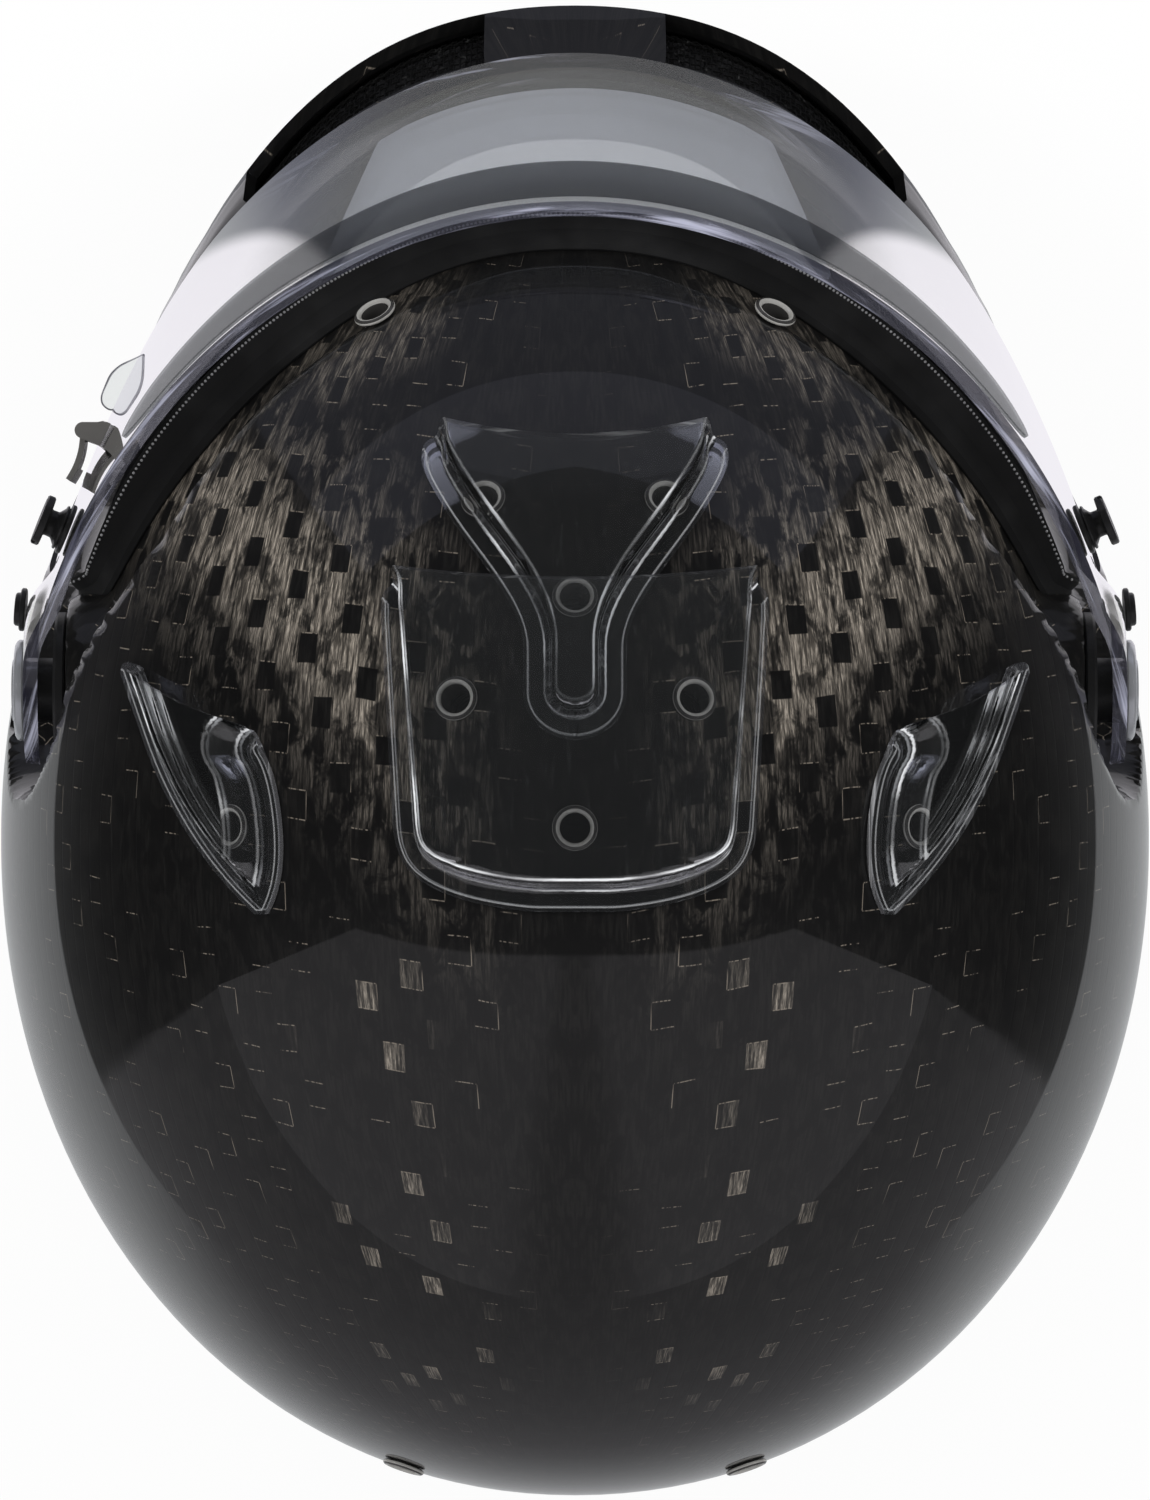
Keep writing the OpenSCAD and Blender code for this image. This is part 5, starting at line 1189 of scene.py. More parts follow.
# %% Eyeport seal
def port_outline():
    """The eyeport's edge as plan angle and height, once round, with its corners drawn smooth."""
    top_a = np.linspace(-PORT_END, PORT_END, 151)
    top = np.column_stack([top_a, port_edge(top_a, 1)])
    low = np.column_stack([top_a[::-1], port_edge(top_a[::-1], -1)])
    end = np.linspace(0, 1, 14)[1:-1, None]
    loop = np.concatenate([top, mix(top[-1], low[0], end), low, mix(low[-1], top[0], end)])
    place = loop * [2.3, 1.0]
    step = np.linalg.norm(np.roll(place, -1, axis=0) - place, axis=1)
    run = np.concatenate([[0], np.cumsum(step)])
    closed = np.vstack([loop, loop[:1]])
    even = np.linspace(0, run[-1], 420, endpoint=False)
    loop = np.column_stack([np.interp(even, run, closed[:, k]) for k in (0, 1)])
    for _ in range(4):
        loop = (np.roll(loop, 1, axis=0) + 2 * loop + np.roll(loop, -1, axis=0)) / 4
    return loop

seal_line = port_outline()
seal_path = skin(seal_line[:, 0], height_share(seal_line[:, 1]), 0.0)
seal_up = shell_normal(seal_line[:, 0], height_share(seal_line[:, 1]))
low_edge, high_edge = port_edge(seal_line[:, 0], -1), port_edge(seal_line[:, 0], 1)
on_top = clip((seal_line[:, 1] - low_edge) / (high_edge - low_edge))
out_share = clip(np.abs(seal_line[:, 0]) / PORT_END)
lip_high = mix(7.1, 5.5, out_share) + 3.6 * np.maximum(0, np.sin(np.pi * out_share ** 2)) ** 0.8
lip = mix(1.1, lip_high, ease(on_top))
seal_section = np.array([
    (-0.9, -3.3), (-0.9, 0.86), (-0.3, 1.0), (0.5, 0.93), (1.4, 0.5), (3.2, 0.34), (4.6, 0.22), (4.9, 0.05),
    (4.6, 0.0), (0.2, 0.0), (0.1, -3.3)])
seal_shape = np.repeat(seal_section[None], len(seal_path), axis=0).copy()
raised = seal_shape[:, :, 1] > 0.0
seal_shape[:, :, 1] = np.where(raised, seal_shape[:, :, 1] * lip[:, None] + 0.15, seal_shape[:, :, 1])
seal_side = np.cross(along(seal_path), seal_up)
beyond = seal_line[:, 1] + np.where(on_top > 0.5, 1.0, -1.0)
toward = smooth_shell(seal_line[:, 0], height_share(beyond)) - seal_path
if (seal_side * toward).sum() < 0:
    seal_shape[:, :, 0] *= -1
add_piece("eyeport_seal", swept(section_rings(seal_path, seal_up, seal_shape), closed=True),
          [rubber], "shell", ["eyeport_gasket"], sharp=35)

# the pips take a pale finish: a painted highlight on each
PIPS = 300
crest = section_rings(seal_path, seal_up, seal_shape)[on_top > 0.5, 3]
pip_run = np.linspace(0, len(crest) - 1, PIPS)
pip_at = np.column_stack([np.interp(pip_run, np.arange(len(crest)), crest[:, k]) for k in range(3)])
pip_ball = turned([(0, -0.32), (0.26, -0.16), (0.32, 0.0), (0.26, 0.16), (0, 0.32)], 8)
pip_jump = np.linalg.norm(np.diff(pip_at, axis=0, prepend=pip_at[:1]), axis=1) < 6
pip_shape = join([(pip_ball[0] + at, pip_ball[1], pip_ball[2]) for at in pip_at[pip_jump]])
add_piece("seal_pips", pip_shape, [pip_glint], "shell", [], sharp=0)

# %% [markdown]
# ## Bottom trim
# An extruded rubber channel is pushed over the shell's lower edge all round. A copy of the shell's rim
# could be thickened for it; its section is carried along the shell's own formula instead, so that both
# walls keep an even gap to the laminate.

# %% Bottom trim
TRIM_T, TRIM_H, TRIM_GAP = 1.8, 9.0, 0.8

def level(points, z):
    """The same points, all at one height."""
    points = points.copy()
    points[..., 2] = z
    return points

round_a = np.arange(240) * 1.5
round_a = np.where(round_a > 180, round_a - 360, round_a)
high_v, low_v = height_share(TRIM_H), height_share(TRIM_FLOOR)
# each corner of the channel's section: height share, depth under the shell's face and height
trim_corners = [
    (high_v, -TRIM_T * 0.4, TRIM_H), (high_v, -TRIM_T, TRIM_H - 0.8), (0.01, -TRIM_T, 1.1),
    (0.0, -TRIM_T * 0.55, 0.0), (0.0, SHELL_T + TRIM_T * 0.55, 0.0), (0.01, SHELL_T + TRIM_T, 1.1),
    (high_v, SHELL_T + TRIM_T, TRIM_H - 0.8), (high_v, SHELL_T + TRIM_T * 0.7, TRIM_H),
    (high_v, SHELL_T + TRIM_GAP, TRIM_H), (low_v, SHELL_T + TRIM_GAP, TRIM_FLOOR),
    (low_v, -GAP, TRIM_FLOOR), (high_v, -GAP, TRIM_H)]
trim_lines = np.stack([level(skin(round_a, v, deep), z) for v, deep, z in trim_corners], axis=1)
add_piece("edge_trim", swept(trim_lines, closed=True), [rubber], "shell", ["bottom_trim"], sharp=40)

# %% [markdown]
# ## Clear air scoops
# Each scoop is one clear moulding: a flat flange glued to the shell, a side wall that rises in an S over
# three millimetres, and a roof that closes down at the far end. The cut edge is polished, with painted
# highlights. It could be one skin thickened by a modifier; two skins are written so that the finish can
# also read how far each place is from the glued edge, and paint its highlight lines there.

# %% Air scoops
SCOOP_T, FLANGE, SCOOP_RISE, MOUTH_R = 1.5, 4.0, 3.0, 4.5

def edge_distance(points, line):
    """Least distance from plan points to a polyline."""
    start, step = line[:-1], np.diff(line, axis=0)
    squared = np.maximum(1e-9, (step * step).sum(axis=-1))
    t = clip(((points[..., None, :] - start) * step).sum(axis=-1) / squared)
    return np.linalg.norm(points[..., None, :] - (start + t[..., None] * step), axis=-1).min(axis=-1)

def scoop(edge_a, edge_b, bow, high, length, rows=70):
    """Two skins over the dome: u runs from one side edge to the other, t from the mouth to the closed end.
    The height is high(t) times an S of the distance from the glued edge, so that the roof closes down on the
    flange along both sides and round the end alike. Gives the shape and that distance for every point."""
    t = (1 - (1 - np.linspace(0, 1, rows + 1)) ** 1.6)[:, None]
    a, b = edge_a(t), edge_b(t)
    wide = np.linalg.norm(a - b, axis=-1)
    near = np.array([0.0, 0.3, 0.7, 1.2, 1.8, 2.6, 3.4, 3.9, 4.3, 4.7,
                     5.1, 5.5, 5.9, 6.3, 6.7, 7.1, 7.8, 9.0])
    fit = np.minimum(1, wide / (2.4 * (FLANGE + SCOOP_RISE)))
    left = near[None, :] * fit / wide
    middle = mix(left[:, -1:], 1 - left[:, -1:], np.linspace(0, 1, 17)[None, 1:-1])
    u = np.concatenate([left, middle, 1 - left[:, ::-1]], axis=1)
    from_side = np.minimum(u, 1 - u) * wide
    arc = MOUTH_R * (1 - np.sqrt(1 - clip(1 - from_side / MOUTH_R) ** 2))
    corner = arc * clip(1 - t * length / (3 * MOUTH_R)) ** 2
    u3 = u[..., None]
    place = b[:, 0][:, None] * (1 - u3) + a[:, 0][:, None] * u3 + bow(u) * ((1 - t) ** 2)[..., None]
    place[..., 1] += corner
    glued = np.concatenate([place[:, 0], place[-1, 1:], place[::-1, -1]])
    away = edge_distance(place, glued)
    lift = high(t) * ease(clip((away - FLANGE) / SCOOP_RISE))
    bottom = dome_point(place[..., 0], place[..., 1], GAP + lift)
    top = dome_point(place[..., 0], place[..., 1], GAP + lift + SCOOP_T)
    return thick_sheet(top, bottom), np.tile(away.ravel(), 2)

def add_scoop(name, node, drawn):
    """Put a scoop on the shell; its finish reads the distance from the glued edge to place its painted
    highlight lines.
    """
    shape, away = drawn
    piece = add_piece(name, shape, [clear_scoop, scoop_rim], "shell", [node], sharp=60,
                      marks={"edge_distance": away})
    return soften(piece, 0.4, 2, 50)

FRONT_Y, FRONT_HIGH, FRONT_LENGTH = (-60.0, -2.0), (8.0, 5.5), 58.0
REAR_Y, REAR_HIGH, REAR_LENGTH = (-31.0, 33.0), (10.0, 6.5), 64.0
SIDE_HIGH, SIDE_LENGTH = 7.0, 46.0

def both(f):
    """Plan points as an array with a middle axis, so that they broadcast along the rows."""
    return lambda t: np.stack(np.broadcast_arrays(*f(t)), axis=-1)

def front_half(y):
    """Half width of the front scoop: a smooth step from wide to narrow, and a round end."""
    w = mix(31.5, 10.5, ease(clip((y + 58) / 38)))
    over = clip((y + 11.5) / 9.5)
    return np.maximum(1.0, w * np.sqrt(np.maximum(0, 1 - over * over)))

def front_edge(s):
    """One side edge of the front scoop, as a function of t."""
    return both(lambda t: (s * front_half(mix(*FRONT_Y, t)), mix(*FRONT_Y, t)))

def rear_half(y):
    """Half width of the rear scoop: a slight taper and a blunt round end."""
    over = clip((y - 14) / 19.3)
    return np.maximum(2.0, mix(39.5, 36.5, clip((y + 25) / 46)) * np.sqrt(np.maximum(0.001, 1 - over ** 3.2)))

def rear_edge(s):
    """One side edge of the rear scoop, as a function of t."""
    return both(lambda t: (s * rear_half(mix(*REAR_Y, t)), mix(*REAR_Y, t)))

def curve(a, b, c, t):
    """Quadratic curve: weights (1 - t) squared, 2 t (1 - t) and t squared."""
    return tuple((1 - t) ** 2 * a[k] + 2 * t * (1 - t) * b[k] + t * t * c[k] for k in (0, 1))

SIDE_OUTER = (95.0, -20.5), (88.0, 14.0), (65.5, 34.0)
SIDE_INNER = (65.0, -4.5), (56.5, 22.0), (63.5, 34.0)

def side_edge(s, outer):
    """One edge of a side scoop, mirrored by s."""
    a, b, c = SIDE_OUTER if outer else SIDE_INNER
    return both(lambda t: (s * curve(a, b, c, t)[0], curve(a, b, c, t)[1]))

def bow_y(f):
    """How far the mouth bows along Y, as a function of u."""
    return lambda u: np.stack([np.zeros_like(u), f(u)], axis=-1)

add_scoop("front_air_scoop", "front_scoop", scoop(
    front_edge(1), front_edge(-1), bow_y(lambda u: -5.5 * (2 * u - 1) ** 2),
    lambda t: mix(*FRONT_HIGH, clip(t * 2)), FRONT_LENGTH))
add_scoop("rear_air_scoop", "rear_scoop", scoop(
    rear_edge(1), rear_edge(-1), bow_y(lambda u: -3.5 * (2 * u - 1) ** 2),
    lambda t: mix(*REAR_HIGH, clip(t * 1.5)), REAR_LENGTH))
for side, s in (("left", 1), ("right", -1)):
    add_scoop(f"side_air_scoop_{side}", f"side_scoop_{side}", scoop(
        side_edge(s, s > 0), side_edge(s, s < 0), bow_y(lambda u: 10.0 * u * (1 - u)),
        lambda t: SIDE_HIGH + 0 * t, SIDE_LENGTH))

# %% [markdown]
# ## Vent eyelets
# Pressed steel eyelets with a rolled flange line the twelve holes. One profile is turned for all of them.
# Plain rings would do from far off, but the roll is what glints; that glint is painted as a paler copy of the
# metal on the rolls.

# %% Eyelets
BARREL = SHELL_T + 4.0
eyelet_profile = [
    (3.1, -BARREL), (3.6, -BARREL), (3.6, -0.3), (3.7, 0.0), (4.35, 0.0), (4.62, 0.18), (4.7, 0.45),
    (4.6, 0.75), (4.3, 1.02), (3.95, 1.1), (3.6, 1.05), (3.3, 0.8), (3.12, 0.4)]
eyelet = turned(eyelet_profile, 56, ring=True)
# painted glints: the rolls at the hole and at the outer edge get a paler copy of the metal than the band
# between them
eyelet_glint_kinds = [0, 0, 0, 0, 0, 1, 1, 0, 0, 1, 1, 1, 0]
eyelet = (eyelet[0], eyelet[1], np.repeat(eyelet_glint_kinds, 56))
for group, places in TOP_VENTS.items():
    shape = join([placed(eyelet, dome_point(x, y, 0.1), dome_normal(x, y)) for x, y in places])
    add_piece(f"{group}_rings", shape, [dark_ring, ring_glint], "shell", [f"{group}_eyelets"],
              sharp=50)

# %% [markdown]
# ## Pivots
# The screen turns on a black base plate under a large slotted screw head. The head is a turned ring with
# a raised rim, a dished face and a coin slot; the plate has radial ribs that brace its bearing boss. Both
# are turned profiles and the slot is milled, as in a workshop; that keeps their edges crisp.

# %% Pivots
PLATE_X = RECESS_X + GAP
head_profile = [
    (0, 0.3), (10.6, 0.3), (11.0, 0.7), (11.0, 1.7), (10.7, 2.1), (10.0, 2.5), (9.2, 2.6), (8.7, 2.2),
    (8.5, 1.7), (7.6, 1.5), (7.3, 2.3), (6.6, 3.1), (3.0, 3.3), (0, 3.3)]
plate_profile = [
    (3.1, 0.0), (16.6, 0.0), (17.0, 0.4), (17.0, 1.9), (16.6, 2.5), (15.2, 2.5), (14.9, 1.7), (7.6, 1.7),
    (7.04, 2.5), (7.04, 8.7), (6.7, 9.1), (3.1, 9.1)]

def spun(shape, angle):
    """A shape turned about the Z axis."""
    c, s = math.cos(angle), math.sin(angle)
    return shape[0] @ np.array([[c, s, 0], [-s, c, 0], [0, 0, 1]]), shape[1], shape[2]

rib = prism([(7.3, -0.5), (15.1, -0.5), (15.1, 0.5), (7.3, 0.5)], 1.4, 2.4)
ribs = join([spun(rib, t) for t in np.radians(np.arange(0, 360, 30))])
for side, s in (("left", 1), ("right", -1)):
    plate = at_pivot(join([turned(plate_profile, 96, ring=True), ribs]), s, PLATE_X)
    add_piece(f"pivot_base_{side}", plate, [black_nylon], "shell", [f"pivot_plate_{side}"],
              sharp=30)
    head = add_piece(f"pivot_ring_{side}", at_pivot(turned(head_profile, 96), s, ARM_X), [screw_metal],
                     "shell", [f"pivot_screw_{side}"], sharp=28)
    cut(head, [at_pivot(bar(12.5, 2.0, 1.6, 6.0), s, ARM_X, 25.0)])

# %% [markdown]
# ## Metal fittings that keep their exact solids
# The lock's lever, bracket, pin and stud, the strap anchors, rivets, snap, D-rings and the threaded
# inserts are exact solids already. They only get their finishes. They could be modelled again with finer
# edges, but most of them are hidden or only a few millimetres large.

# %% Finishes for kept solids
def refinish(node, finish):
    """Put a finish on a kept node's objects, not on the meshes that they share."""
    obj = frame["nodes"][node]
    obj = bpy.data.objects[obj] if isinstance(obj, str) else obj
    for target in [obj, *obj.children_recursive]:
        if target.type == "MESH":
            for slot in target.material_slots:
                slot.link = "OBJECT"
                slot.material = finish

small_fittings = {
    "lock_lever": steel, "lock_bracket": steel, "lock_pin": steel, "lock_stud": steel,
    "restraint_inserts": zinc, "strap_anchors": zinc, "strap_rivets": dark_ring,
    "d_ring_inner": zinc, "d_ring_outer": zinc, "strap_snap": black_nylon}
for node, finish in small_fittings.items():
    refinish(node, finish)
print(len(small_fittings), "kept nodes with a new finish")

# %% [markdown]
# ## Foam linings
# The impact liner is moulded bead foam that fills the shell, with a cavity for the head and pockets for
# the visor's mechanism and the strap anchors. The chin bar has its own block. The liner could be the
# shell scaled down; two formulas are used because its outside gives way to the pockets while its inside
# stays smooth for the head.

# %% Foam linings
CROWN_T = 34.0
CAVITY_W, CAVITY_FRONT, CAVITY_REAR = 92.0, 112.0, 112.0
CAVITY_H = DOME_H - CROWN_T
LINER_FOOT, LINER_GAP = 22.0, 0.8

def cavity_share(z):
    """Share of a height in the head cavity: the shell's formula with the cavity's own height."""
    up = clip((z - WIDEST_Z) / CAVITY_H)
    return np.where(z <= WIDEST_Z, WIDEST_V * z / WIDEST_Z,
                    WIDEST_V + (1 - WIDEST_V) * np.arcsin(up ** (DOME_N / 2)) / (np.pi / 2))

def cavity(a, v, inset=0.0):
    """Point of the head cavity, drawn in by an inset."""
    a, v, inset = np.broadcast_arrays(np.asarray(a, float), np.asarray(v, float), np.asarray(inset, float))
    share, up, t = dome_share(v), (height_of(v) - WIDEST_Z) / DOME_H, np.radians(a)
    x = (CAVITY_W - inset) * share * signed_power(np.sin(t), 2 / PLAN_N)
    reach_y = np.where(np.cos(t) > 0, CAVITY_FRONT, CAVITY_REAR) - inset
    y = MID_Y - reach_y * share * signed_power(np.cos(t), 2 / PLAN_N)
    z = np.where(v <= WIDEST_V, height_of(v), WIDEST_Z + (CAVITY_H - inset) * up)
    return np.stack([x, y, z], axis=-1)

LINER_COLS, LINER_LOW, LINER_HIGH = 160, 20, 26
liner_a = np.arange(LINER_COLS) * 360 / LINER_COLS
liner_a = np.where(liner_a > 180, liner_a - 360, liner_a)
liner_edge = port_edge(liner_a, 1) + 3.0

def liner_rows(foot, edge):
    """Height shares in two even runs: foot to the eyeport's top, and on to the crown."""
    low = [mix(foot, edge, i / LINER_LOW) for i in range(LINER_LOW)]
    return np.array(low + [mix(edge, 1.0, i / LINER_HIGH) for i in range(LINER_HIGH + 1)])

inner_v = liner_rows(np.full(LINER_COLS, float(cavity_share(LINER_FOOT))), cavity_share(liner_edge))
outer_v = liner_rows(np.full(LINER_COLS, float(height_share(LINER_FOOT))), height_share(liner_edge))
foam_in = cavity(liner_a, inner_v)
foam_out = skin(liner_a, outer_v, SHELL_T + LINER_GAP + 0.5)
oy, oz = foam_out[..., 1], foam_out[..., 2]
v_out = height_share(oz)
share_out = dome_share(v_out)
reach_out = plan_reach(oy < MID_Y, share_out, v_out)
along_y = np.minimum(1, np.abs(oy - MID_Y) / np.maximum(1, reach_out))
side_wall = half_width(share_out, v_out) * np.maximum(0, 1 - along_y ** PLAN_N) ** (1 / PLAN_N)
pocket = ease(clip((20 - recess_edge(oy, oz)) / 6)) * clip((115 - np.abs(liner_a)) / 15)
floor_x = side_wall - RECESS_DEPTH - SHELL_T - 5.0
wide = np.abs(foam_out[..., 0])
least = np.minimum(wide, np.abs(foam_in[..., 0]) + 3.0)
foam_out[..., 0] = np.sign(foam_out[..., 0]) * np.maximum(least, np.minimum(wide, mix(wide, floor_x, pocket)))
liner_cell = np.arange(len(inner_v) - 1)[:, None]
liner_mid = liner_a + 180 / LINER_COLS
liner_turn = np.abs(np.where(liner_mid > 180, liner_mid - 360, liner_mid))
liner_keep = (liner_cell >= LINER_LOW) | (liner_turn > PORT_END)[None, :]
foam = add_piece("impact_foam", thick_sheet(foam_out, foam_in, liner_keep, wrap=True),
                 [bead_foam, bead_foam], "shell", ["impact_liner"], sharp=45)
room = bar(60, 32, 20, 64)
strap_rooms = [(room[0] + [s * (CAVITY_W + 14), 0, 0], room[1], room[2]) for s in (-1, 1)]
cut(foam, vent_drills(LINER_VENT_R, 60.0, 10.0, 24) + strap_rooms
    + side_drills(INSERT_SPOT, LINER_INSERT_R, 16.0, 14.0, 24))

chin_a = np.linspace(-60, 60, 81)[None, :]
chin_v = height_share(np.linspace(10, 55, 17))[:, None]
chin_out = skin(chin_a, chin_v, SHELL_T + LINER_GAP)
chin_in = skin(chin_a, chin_v, SHELL_T + LINER_GAP + 15.0)
chin_foam = add_piece("chin_foam", thick_sheet(chin_out, chin_in), [bead_foam, bead_foam], "shell",
                      ["chin_bar_liner"], sharp=40)
soften(chin_foam, 2.0, 3, 40)

# %% [markdown]
# ## Padding
# The comfort padding is brushed knit over soft foam. The crown pad is a quilted cap; the cheek pads and
# the neck roll are stuffed and swell between their seams. The two stuffed kinds are made plump by a short
# cloth run with air pressure, capped so that they stay off the foam, and then smoothed once.

# %% Padding
def quilted(u, v, nu, nv):
    """Pillowed height between seams: the product of two sine humps to a low power."""
    return (np.abs(np.sin(np.pi * u * nu)) * np.abs(np.sin(np.pi * v * nv))) ** 0.35

PAD_GAP, CAP_COLS = 1.0, 144
CAP_FOOT_FACE, CAP_FOOT_REAR = 178.0, 122.0
CHEEK_LOW, CHEEK_HIGH, CHEEK_IN = 30, 108, 65.0
ROLL_LOW, ROLL_HIGH, ROLL_T = 24, 61, 13.0
cap_a = np.arange(CAP_COLS) * 2.5
cap_a = np.where(cap_a > 180, cap_a - 360, cap_a)
cap_low = np.where(np.abs(cap_a) < PORT_END, CAP_FOOT_FACE, CAP_FOOT_REAR)
cap_soft = np.convolve(np.concatenate([cap_low[-6:], cap_low, cap_low[:6]]), np.ones(13) / 13, mode="valid")
cap_t = np.linspace(0, 1, 49)[:, None]
cap_v = mix(cavity_share(cap_soft)[None, :], 1.0, cap_t)
quilt = quilted(np.arange(CAP_COLS)[None, :] / CAP_COLS, cap_t, 12, 3)
swell = quilt * ease(clip(cap_t * 12)) * (1 - ease(clip((cap_t - 0.9) * 10)))
cap_back, cap_face = cavity(cap_a, cap_v, PAD_GAP + 0.4), cavity(cap_a, cap_v, PAD_GAP + 3.0 + 5.0 * swell)
crown = add_piece("crown_padding", thick_sheet(cap_back, cap_face, wrap=True), [pad_knit, pad_knit],
                  "shell", ["crown_pad"], sharp=0)

def stuffed(name, outer, inner, node, cap=0.004):
    """A stuffed pad: a closed skin, remeshed evenly, blown up a little as cloth and then smoothed."""
    obj = add_piece(name, thick_sheet(outer, inner), [pad_knit, pad_knit], "shell", [node], sharp=0)
    inflate(obj, cap)
    return obj

def inflate(obj, cap):
    """Remesh evenly, run twenty frames of cloth under pressure and cap how far a point moves."""
    remesh = obj.modifiers.new("even", "REMESH")
    remesh.mode = "VOXEL"
    remesh.voxel_size = 0.005
    apply_all(obj)
    before = np.empty(len(obj.data.vertices) * 3)
    obj.data.vertices.foreach_get("co", before)
    cloth = obj.modifiers.new("air", "CLOTH")
    cloth.settings.use_pressure = True
    cloth.settings.uniform_pressure_force = 4.0
    cloth.settings.effector_weights.gravity = 0.0
    for number in range(1, 21):
        bpy.context.scene.frame_set(number)
    apply_all(obj)
    after = np.empty_like(before)
    obj.data.vertices.foreach_get("co", after)
    move = (after - before).reshape(-1, 3)
    length = np.linalg.norm(move, axis=1, keepdims=True)
    move *= np.minimum(1.0, cap / np.maximum(length, 1e-9))
    obj.data.vertices.foreach_set("co", (before.reshape(-1, 3) + move).ravel())
    obj.data.update()
    smooth = obj.modifiers.new("smooth", "SUBSURF")
    smooth.levels = smooth.render_levels = 1
    obj.data.polygons.foreach_set("use_smooth", np.ones(len(obj.data.polygons), bool))
    bpy.context.scene.frame_set(1)

def apply_all(obj):
    """Keep the evaluated mesh as the piece's own mesh."""
    bpy.context.view_layer.update()
    result = bpy.data.meshes.new_from_object(obj.evaluated_get(bpy.context.evaluated_depsgraph_get()))
    obj.modifiers.clear()
    obj.data = result

cheek_u = np.linspace(0, 1, 31)[None, :]
cheek_t = np.linspace(0, 1, 25)[:, None]
cheek_v = height_share(mix(CHEEK_LOW, CHEEK_HIGH, cheek_t))
hump = np.sin(np.pi * mix(0.06, 0.94, cheek_u)) * np.sin(np.pi * mix(0.06, 0.94, cheek_t))
cheek_swell = np.maximum(0, hump) ** 0.4
for side, s in (("left", 1), ("right", -1)):
    back = cavity(s * mix(50, 100, cheek_u), cheek_v, PAD_GAP + 2.5)
    face = back.copy()
    face[..., 0] = s * mix(np.abs(back[..., 0]), CHEEK_IN, cheek_swell)
    stuffed(f"cheek_padding_{side}", back, face, f"cheek_pad_{side}")

roll_u = np.linspace(118, 242, 61)[None, :]
roll_u = np.where(roll_u > 180, roll_u - 360, roll_u)
roll_t = np.linspace(0, 1, 17)[:, None]
roll_v = height_share(mix(ROLL_LOW, ROLL_HIGH, roll_t)) + 0 * roll_u
roll_swell = np.sin(np.pi * mix(0.06, 0.94, roll_t)) ** 0.5 + 0 * roll_u
roll_back = cavity(roll_u, roll_v, PAD_GAP + 2.5)
roll_face = cavity(roll_u, roll_v, PAD_GAP + ROLL_T * roll_swell)
stuffed("neck_padding", roll_back, roll_face, "neck_roll", 0.003)

# %% [markdown]
# ## Chin strap
# Woven webbing hangs from a riveted plate on each side. The left strap ends in two sewn loops that hold
# the D-rings; the right one carries a snap. The webbing is a flat section carried along a smooth line,
# with its own UV running in ribs along it. A bevelled curve could draw it, but then no UV would count the
# ribs along its length.

# %% Chin strap
STRAP_W, STRAP_T = 25.0, 2.0
ANCHOR_X = side_x(0.0, 45.0) - SHELL_T - 5.2
ROOT = ANCHOR_X - STRAP_T / 2 - 0.5
LOOP_X, LOOP_Z, LOOP_PITCH, RING_WIRE = 52.0, 21.0, 5.5, 2.0
left_route = [(ROOT, 56), (ROOT, 38), (ROOT - 3, 27), (96, 19), (80, 15.5), (66, 17), (LOOP_X + 5, LOOP_Z)]
right_route = [(ROOT, 56), (ROOT, 38), (ROOT - 3, 27), (96, 19), (72, 14), (36, 12), (8, 12), (-12, 12)]

def spline(points, count):
    """A cardinal spline through plan points."""
    q = np.array([points[0], *points, points[-1]], float)
    t = np.linspace(0, len(points) - 1, count)
    k = np.minimum(len(points) - 2, t.astype(int))
    f = (t - k)[:, None]
    a, b, c, d = q[k], q[k + 1], q[k + 2], q[k + 3]
    return b + 0.5 * f * (c - a + f * (2 * a - 5 * b + 4 * c - d + f * (3 * (b - c) + d - a)))

def strap(s, route, count=120):
    """A strap along a spline: thickness along the line's normal and width along Y."""
    line = spline(route, count)
    tangent = unit(np.gradient(line, axis=0))
    normal = np.stack([-tangent[:, 1], tangent[:, 0]], axis=1)
    half_t, half_w = STRAP_T / 2, STRAP_W / 2
    corners = [(-half_t, -half_w), (half_t, -half_w), (half_t, half_w), (-half_t, half_w)]
    section = rounded(corners, 0.8, 3, closed=True)
    plan_points = line[:, None] + section[None, :, :1] * normal[:, None]
    width = np.broadcast_to(section[None, :, 1], plan_points.shape[:2])
    rings = np.stack([s * plan_points[..., 0], width, plan_points[..., 1]], axis=-1)
    run = np.concatenate([[0], np.cumsum(np.linalg.norm(np.diff(line, axis=0), axis=1))])
    return swept(rings), line, run

def add_strap_uv(obj, line, run, s):
    """U counts ribs of 1.6 mm along the strap, V runs across its width."""
    layer = obj.data.uv_layers.new(name="weave")
    spot = np.empty(len(obj.data.vertices) * 3)
    obj.data.vertices.foreach_get("co", spot)
    spot = spot.reshape(-1, 3) * 1000
    gap = np.linalg.norm(spot[:, None, [0, 2]] * [s, 1.0] - line[None], axis=2)
    u = run[gap.argmin(axis=1)] / 1.6
    v = spot[:, 1] / STRAP_W + 0.5
    corners = np.empty(len(obj.data.loops), dtype=np.int32)
    obj.data.loops.foreach_get("vertex_index", corners)
    layer.data.foreach_set("uv", np.column_stack([u, v])[corners].ravel())

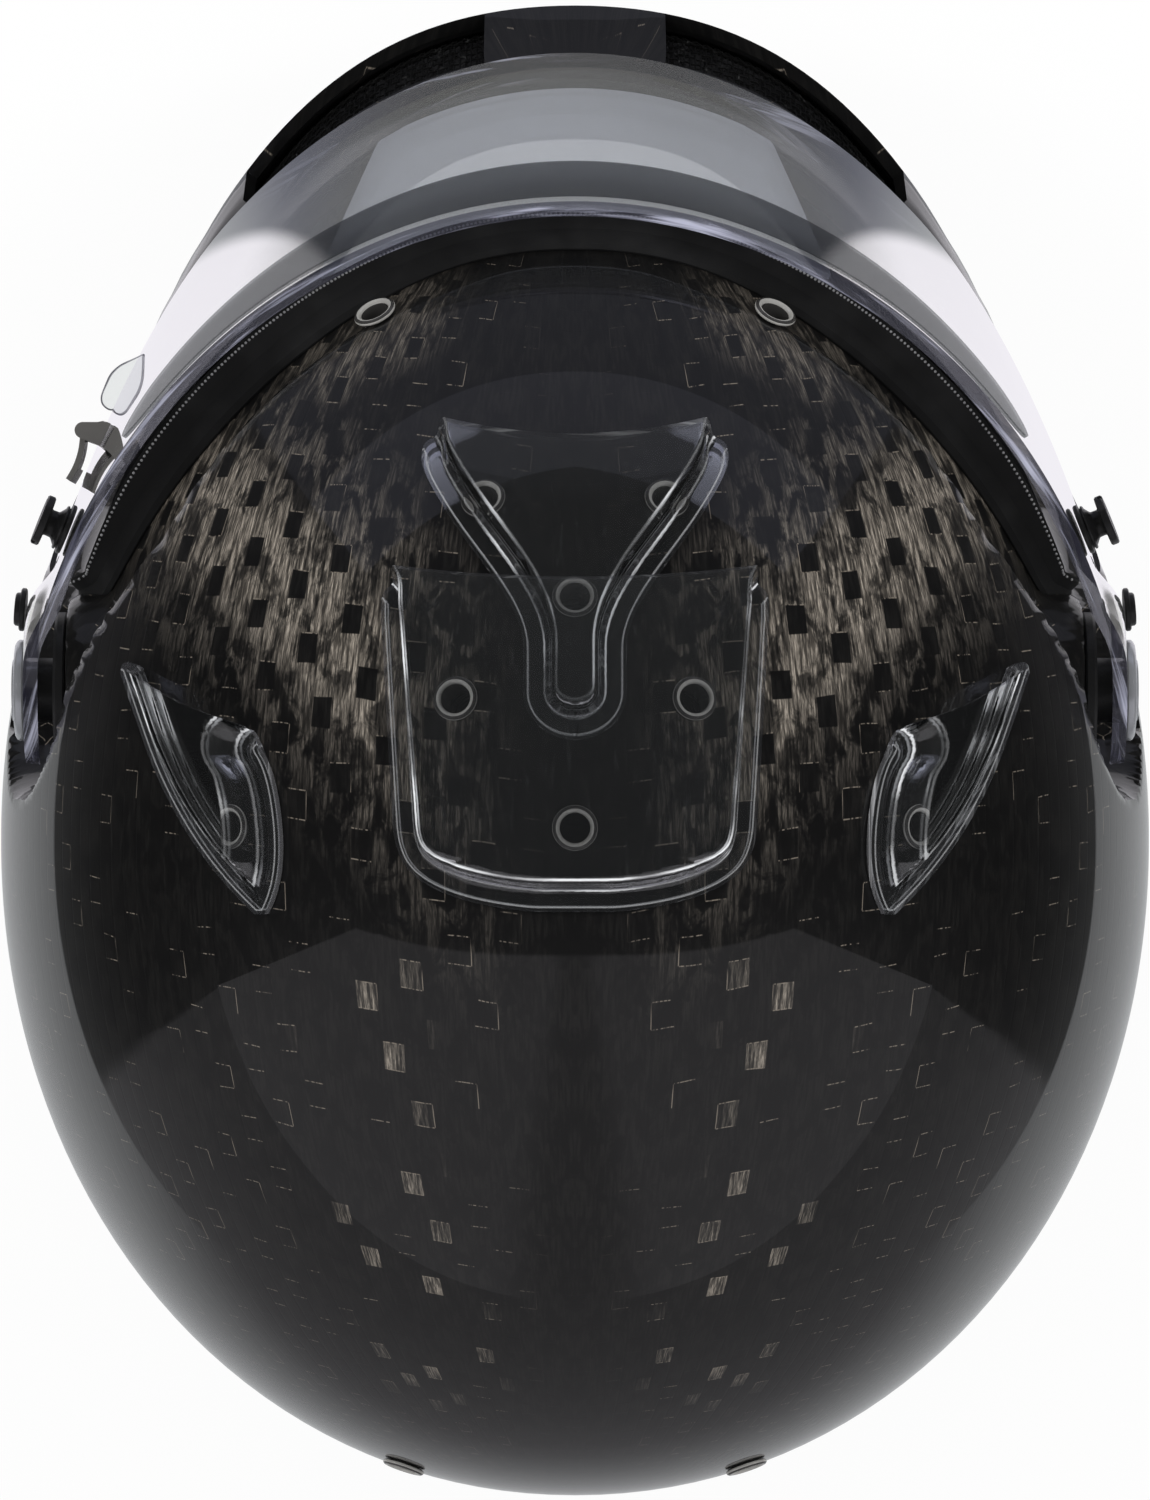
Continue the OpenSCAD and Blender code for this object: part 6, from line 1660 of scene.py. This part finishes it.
LOOP_IN, LOOP_OUT, LOOP_HALF = RING_WIRE + 0.06, RING_WIRE + 0.06 + STRAP_T, STRAP_W / 2
loop_profile = [(LOOP_IN, -LOOP_HALF), (LOOP_OUT - 0.4, -LOOP_HALF), (LOOP_OUT, -LOOP_HALF + 0.5),
                (LOOP_OUT, LOOP_HALF - 0.5), (LOOP_OUT - 0.4, LOOP_HALF), (LOOP_IN, LOOP_HALF)]
sleeve = turned(loop_profile, 40, ring=True)
loops = [placed(sleeve, (LOOP_X - k * LOOP_PITCH, 0.0, LOOP_Z), (0, 1, 0)) for k in (0, 1)]
for side, s, route, extra in (("left", 1, left_route, loops), ("right", -1, right_route, [])):
    shape, line, run = strap(s, route)
    piece = add_piece(f"chin_webbing_{side}", join([shape, *extra]), [webbing], "shell",
                      [f"chin_strap_{side}"], sharp=60)
    add_strap_uv(piece, line, run, s)
    print(f"strap {side}: {run[-1]:.0f} mm")

# %% [markdown]
# ## Chin vent grilles
# Woven wire lies behind each chin slot: two families of fine wires that follow the shell's skin. A sheet
# with see-through squares would do from far off; real wires also hold close by and cast their shadows.

# %% Chin vent grilles
MESH_LOW, MESH_HIGH, MESH_IN, MESH_OUT = 58.5, 75.0, 7.7, 37.3
MESH_DEPTH, MESH_WAVE, WIRE_R = SHELL_T + 2.2, 0.22, 0.22
LONG_WIRES, CROSS_WIRES, LONG_POINTS, CROSS_POINTS = 13, 50, 100, 26

def wire(a, v, depth, out):
    """A thin six-sided tube along a line of the shell's grid, at a depth under its face."""
    line = smooth_shell(a, v) - depth[:, None] * shell_normal(a, v)
    return swept(section_rings(line, np.tile(out, (len(line), 1)), round_section(WIRE_R, 6), closed=False))

def over_under(count, number):
    """A woven wire's wave, one sine in four points, the other way round on every other wire."""
    return MESH_WAVE * np.sin(np.arange(count) * np.pi / 2 + number * np.pi)

def grille(s):
    """Wires along both directions of the shell's grid that wave over and under each other."""
    parts = []
    for i, z in enumerate(np.linspace(MESH_LOW, MESH_HIGH, LONG_WIRES)):
        v = np.full(LONG_POINTS, float(height_share(z)))
        a = s * np.linspace(MESH_IN, MESH_OUT, LONG_POINTS)
        parts.append(wire(a, v, MESH_DEPTH + over_under(LONG_POINTS, i), [0.0, 0.0, 1.0]))
    for i, a in enumerate(np.linspace(MESH_IN, MESH_OUT, CROSS_WIRES)):
        v = height_share(np.linspace(MESH_LOW, MESH_HIGH, CROSS_POINTS))
        depth = MESH_DEPTH - over_under(CROSS_POINTS, i)
        parts.append(wire(np.full(CROSS_POINTS, s * a), v, depth, [1.0, 0.0, 0.0]))
    return join(parts)

for side, s in (("left", 1), ("right", -1)):
    add_piece(f"chin_grille_{side}", grille(s), [mesh_wire], "shell", [f"chin_vent_mesh_{side}"],
              sharp=0)
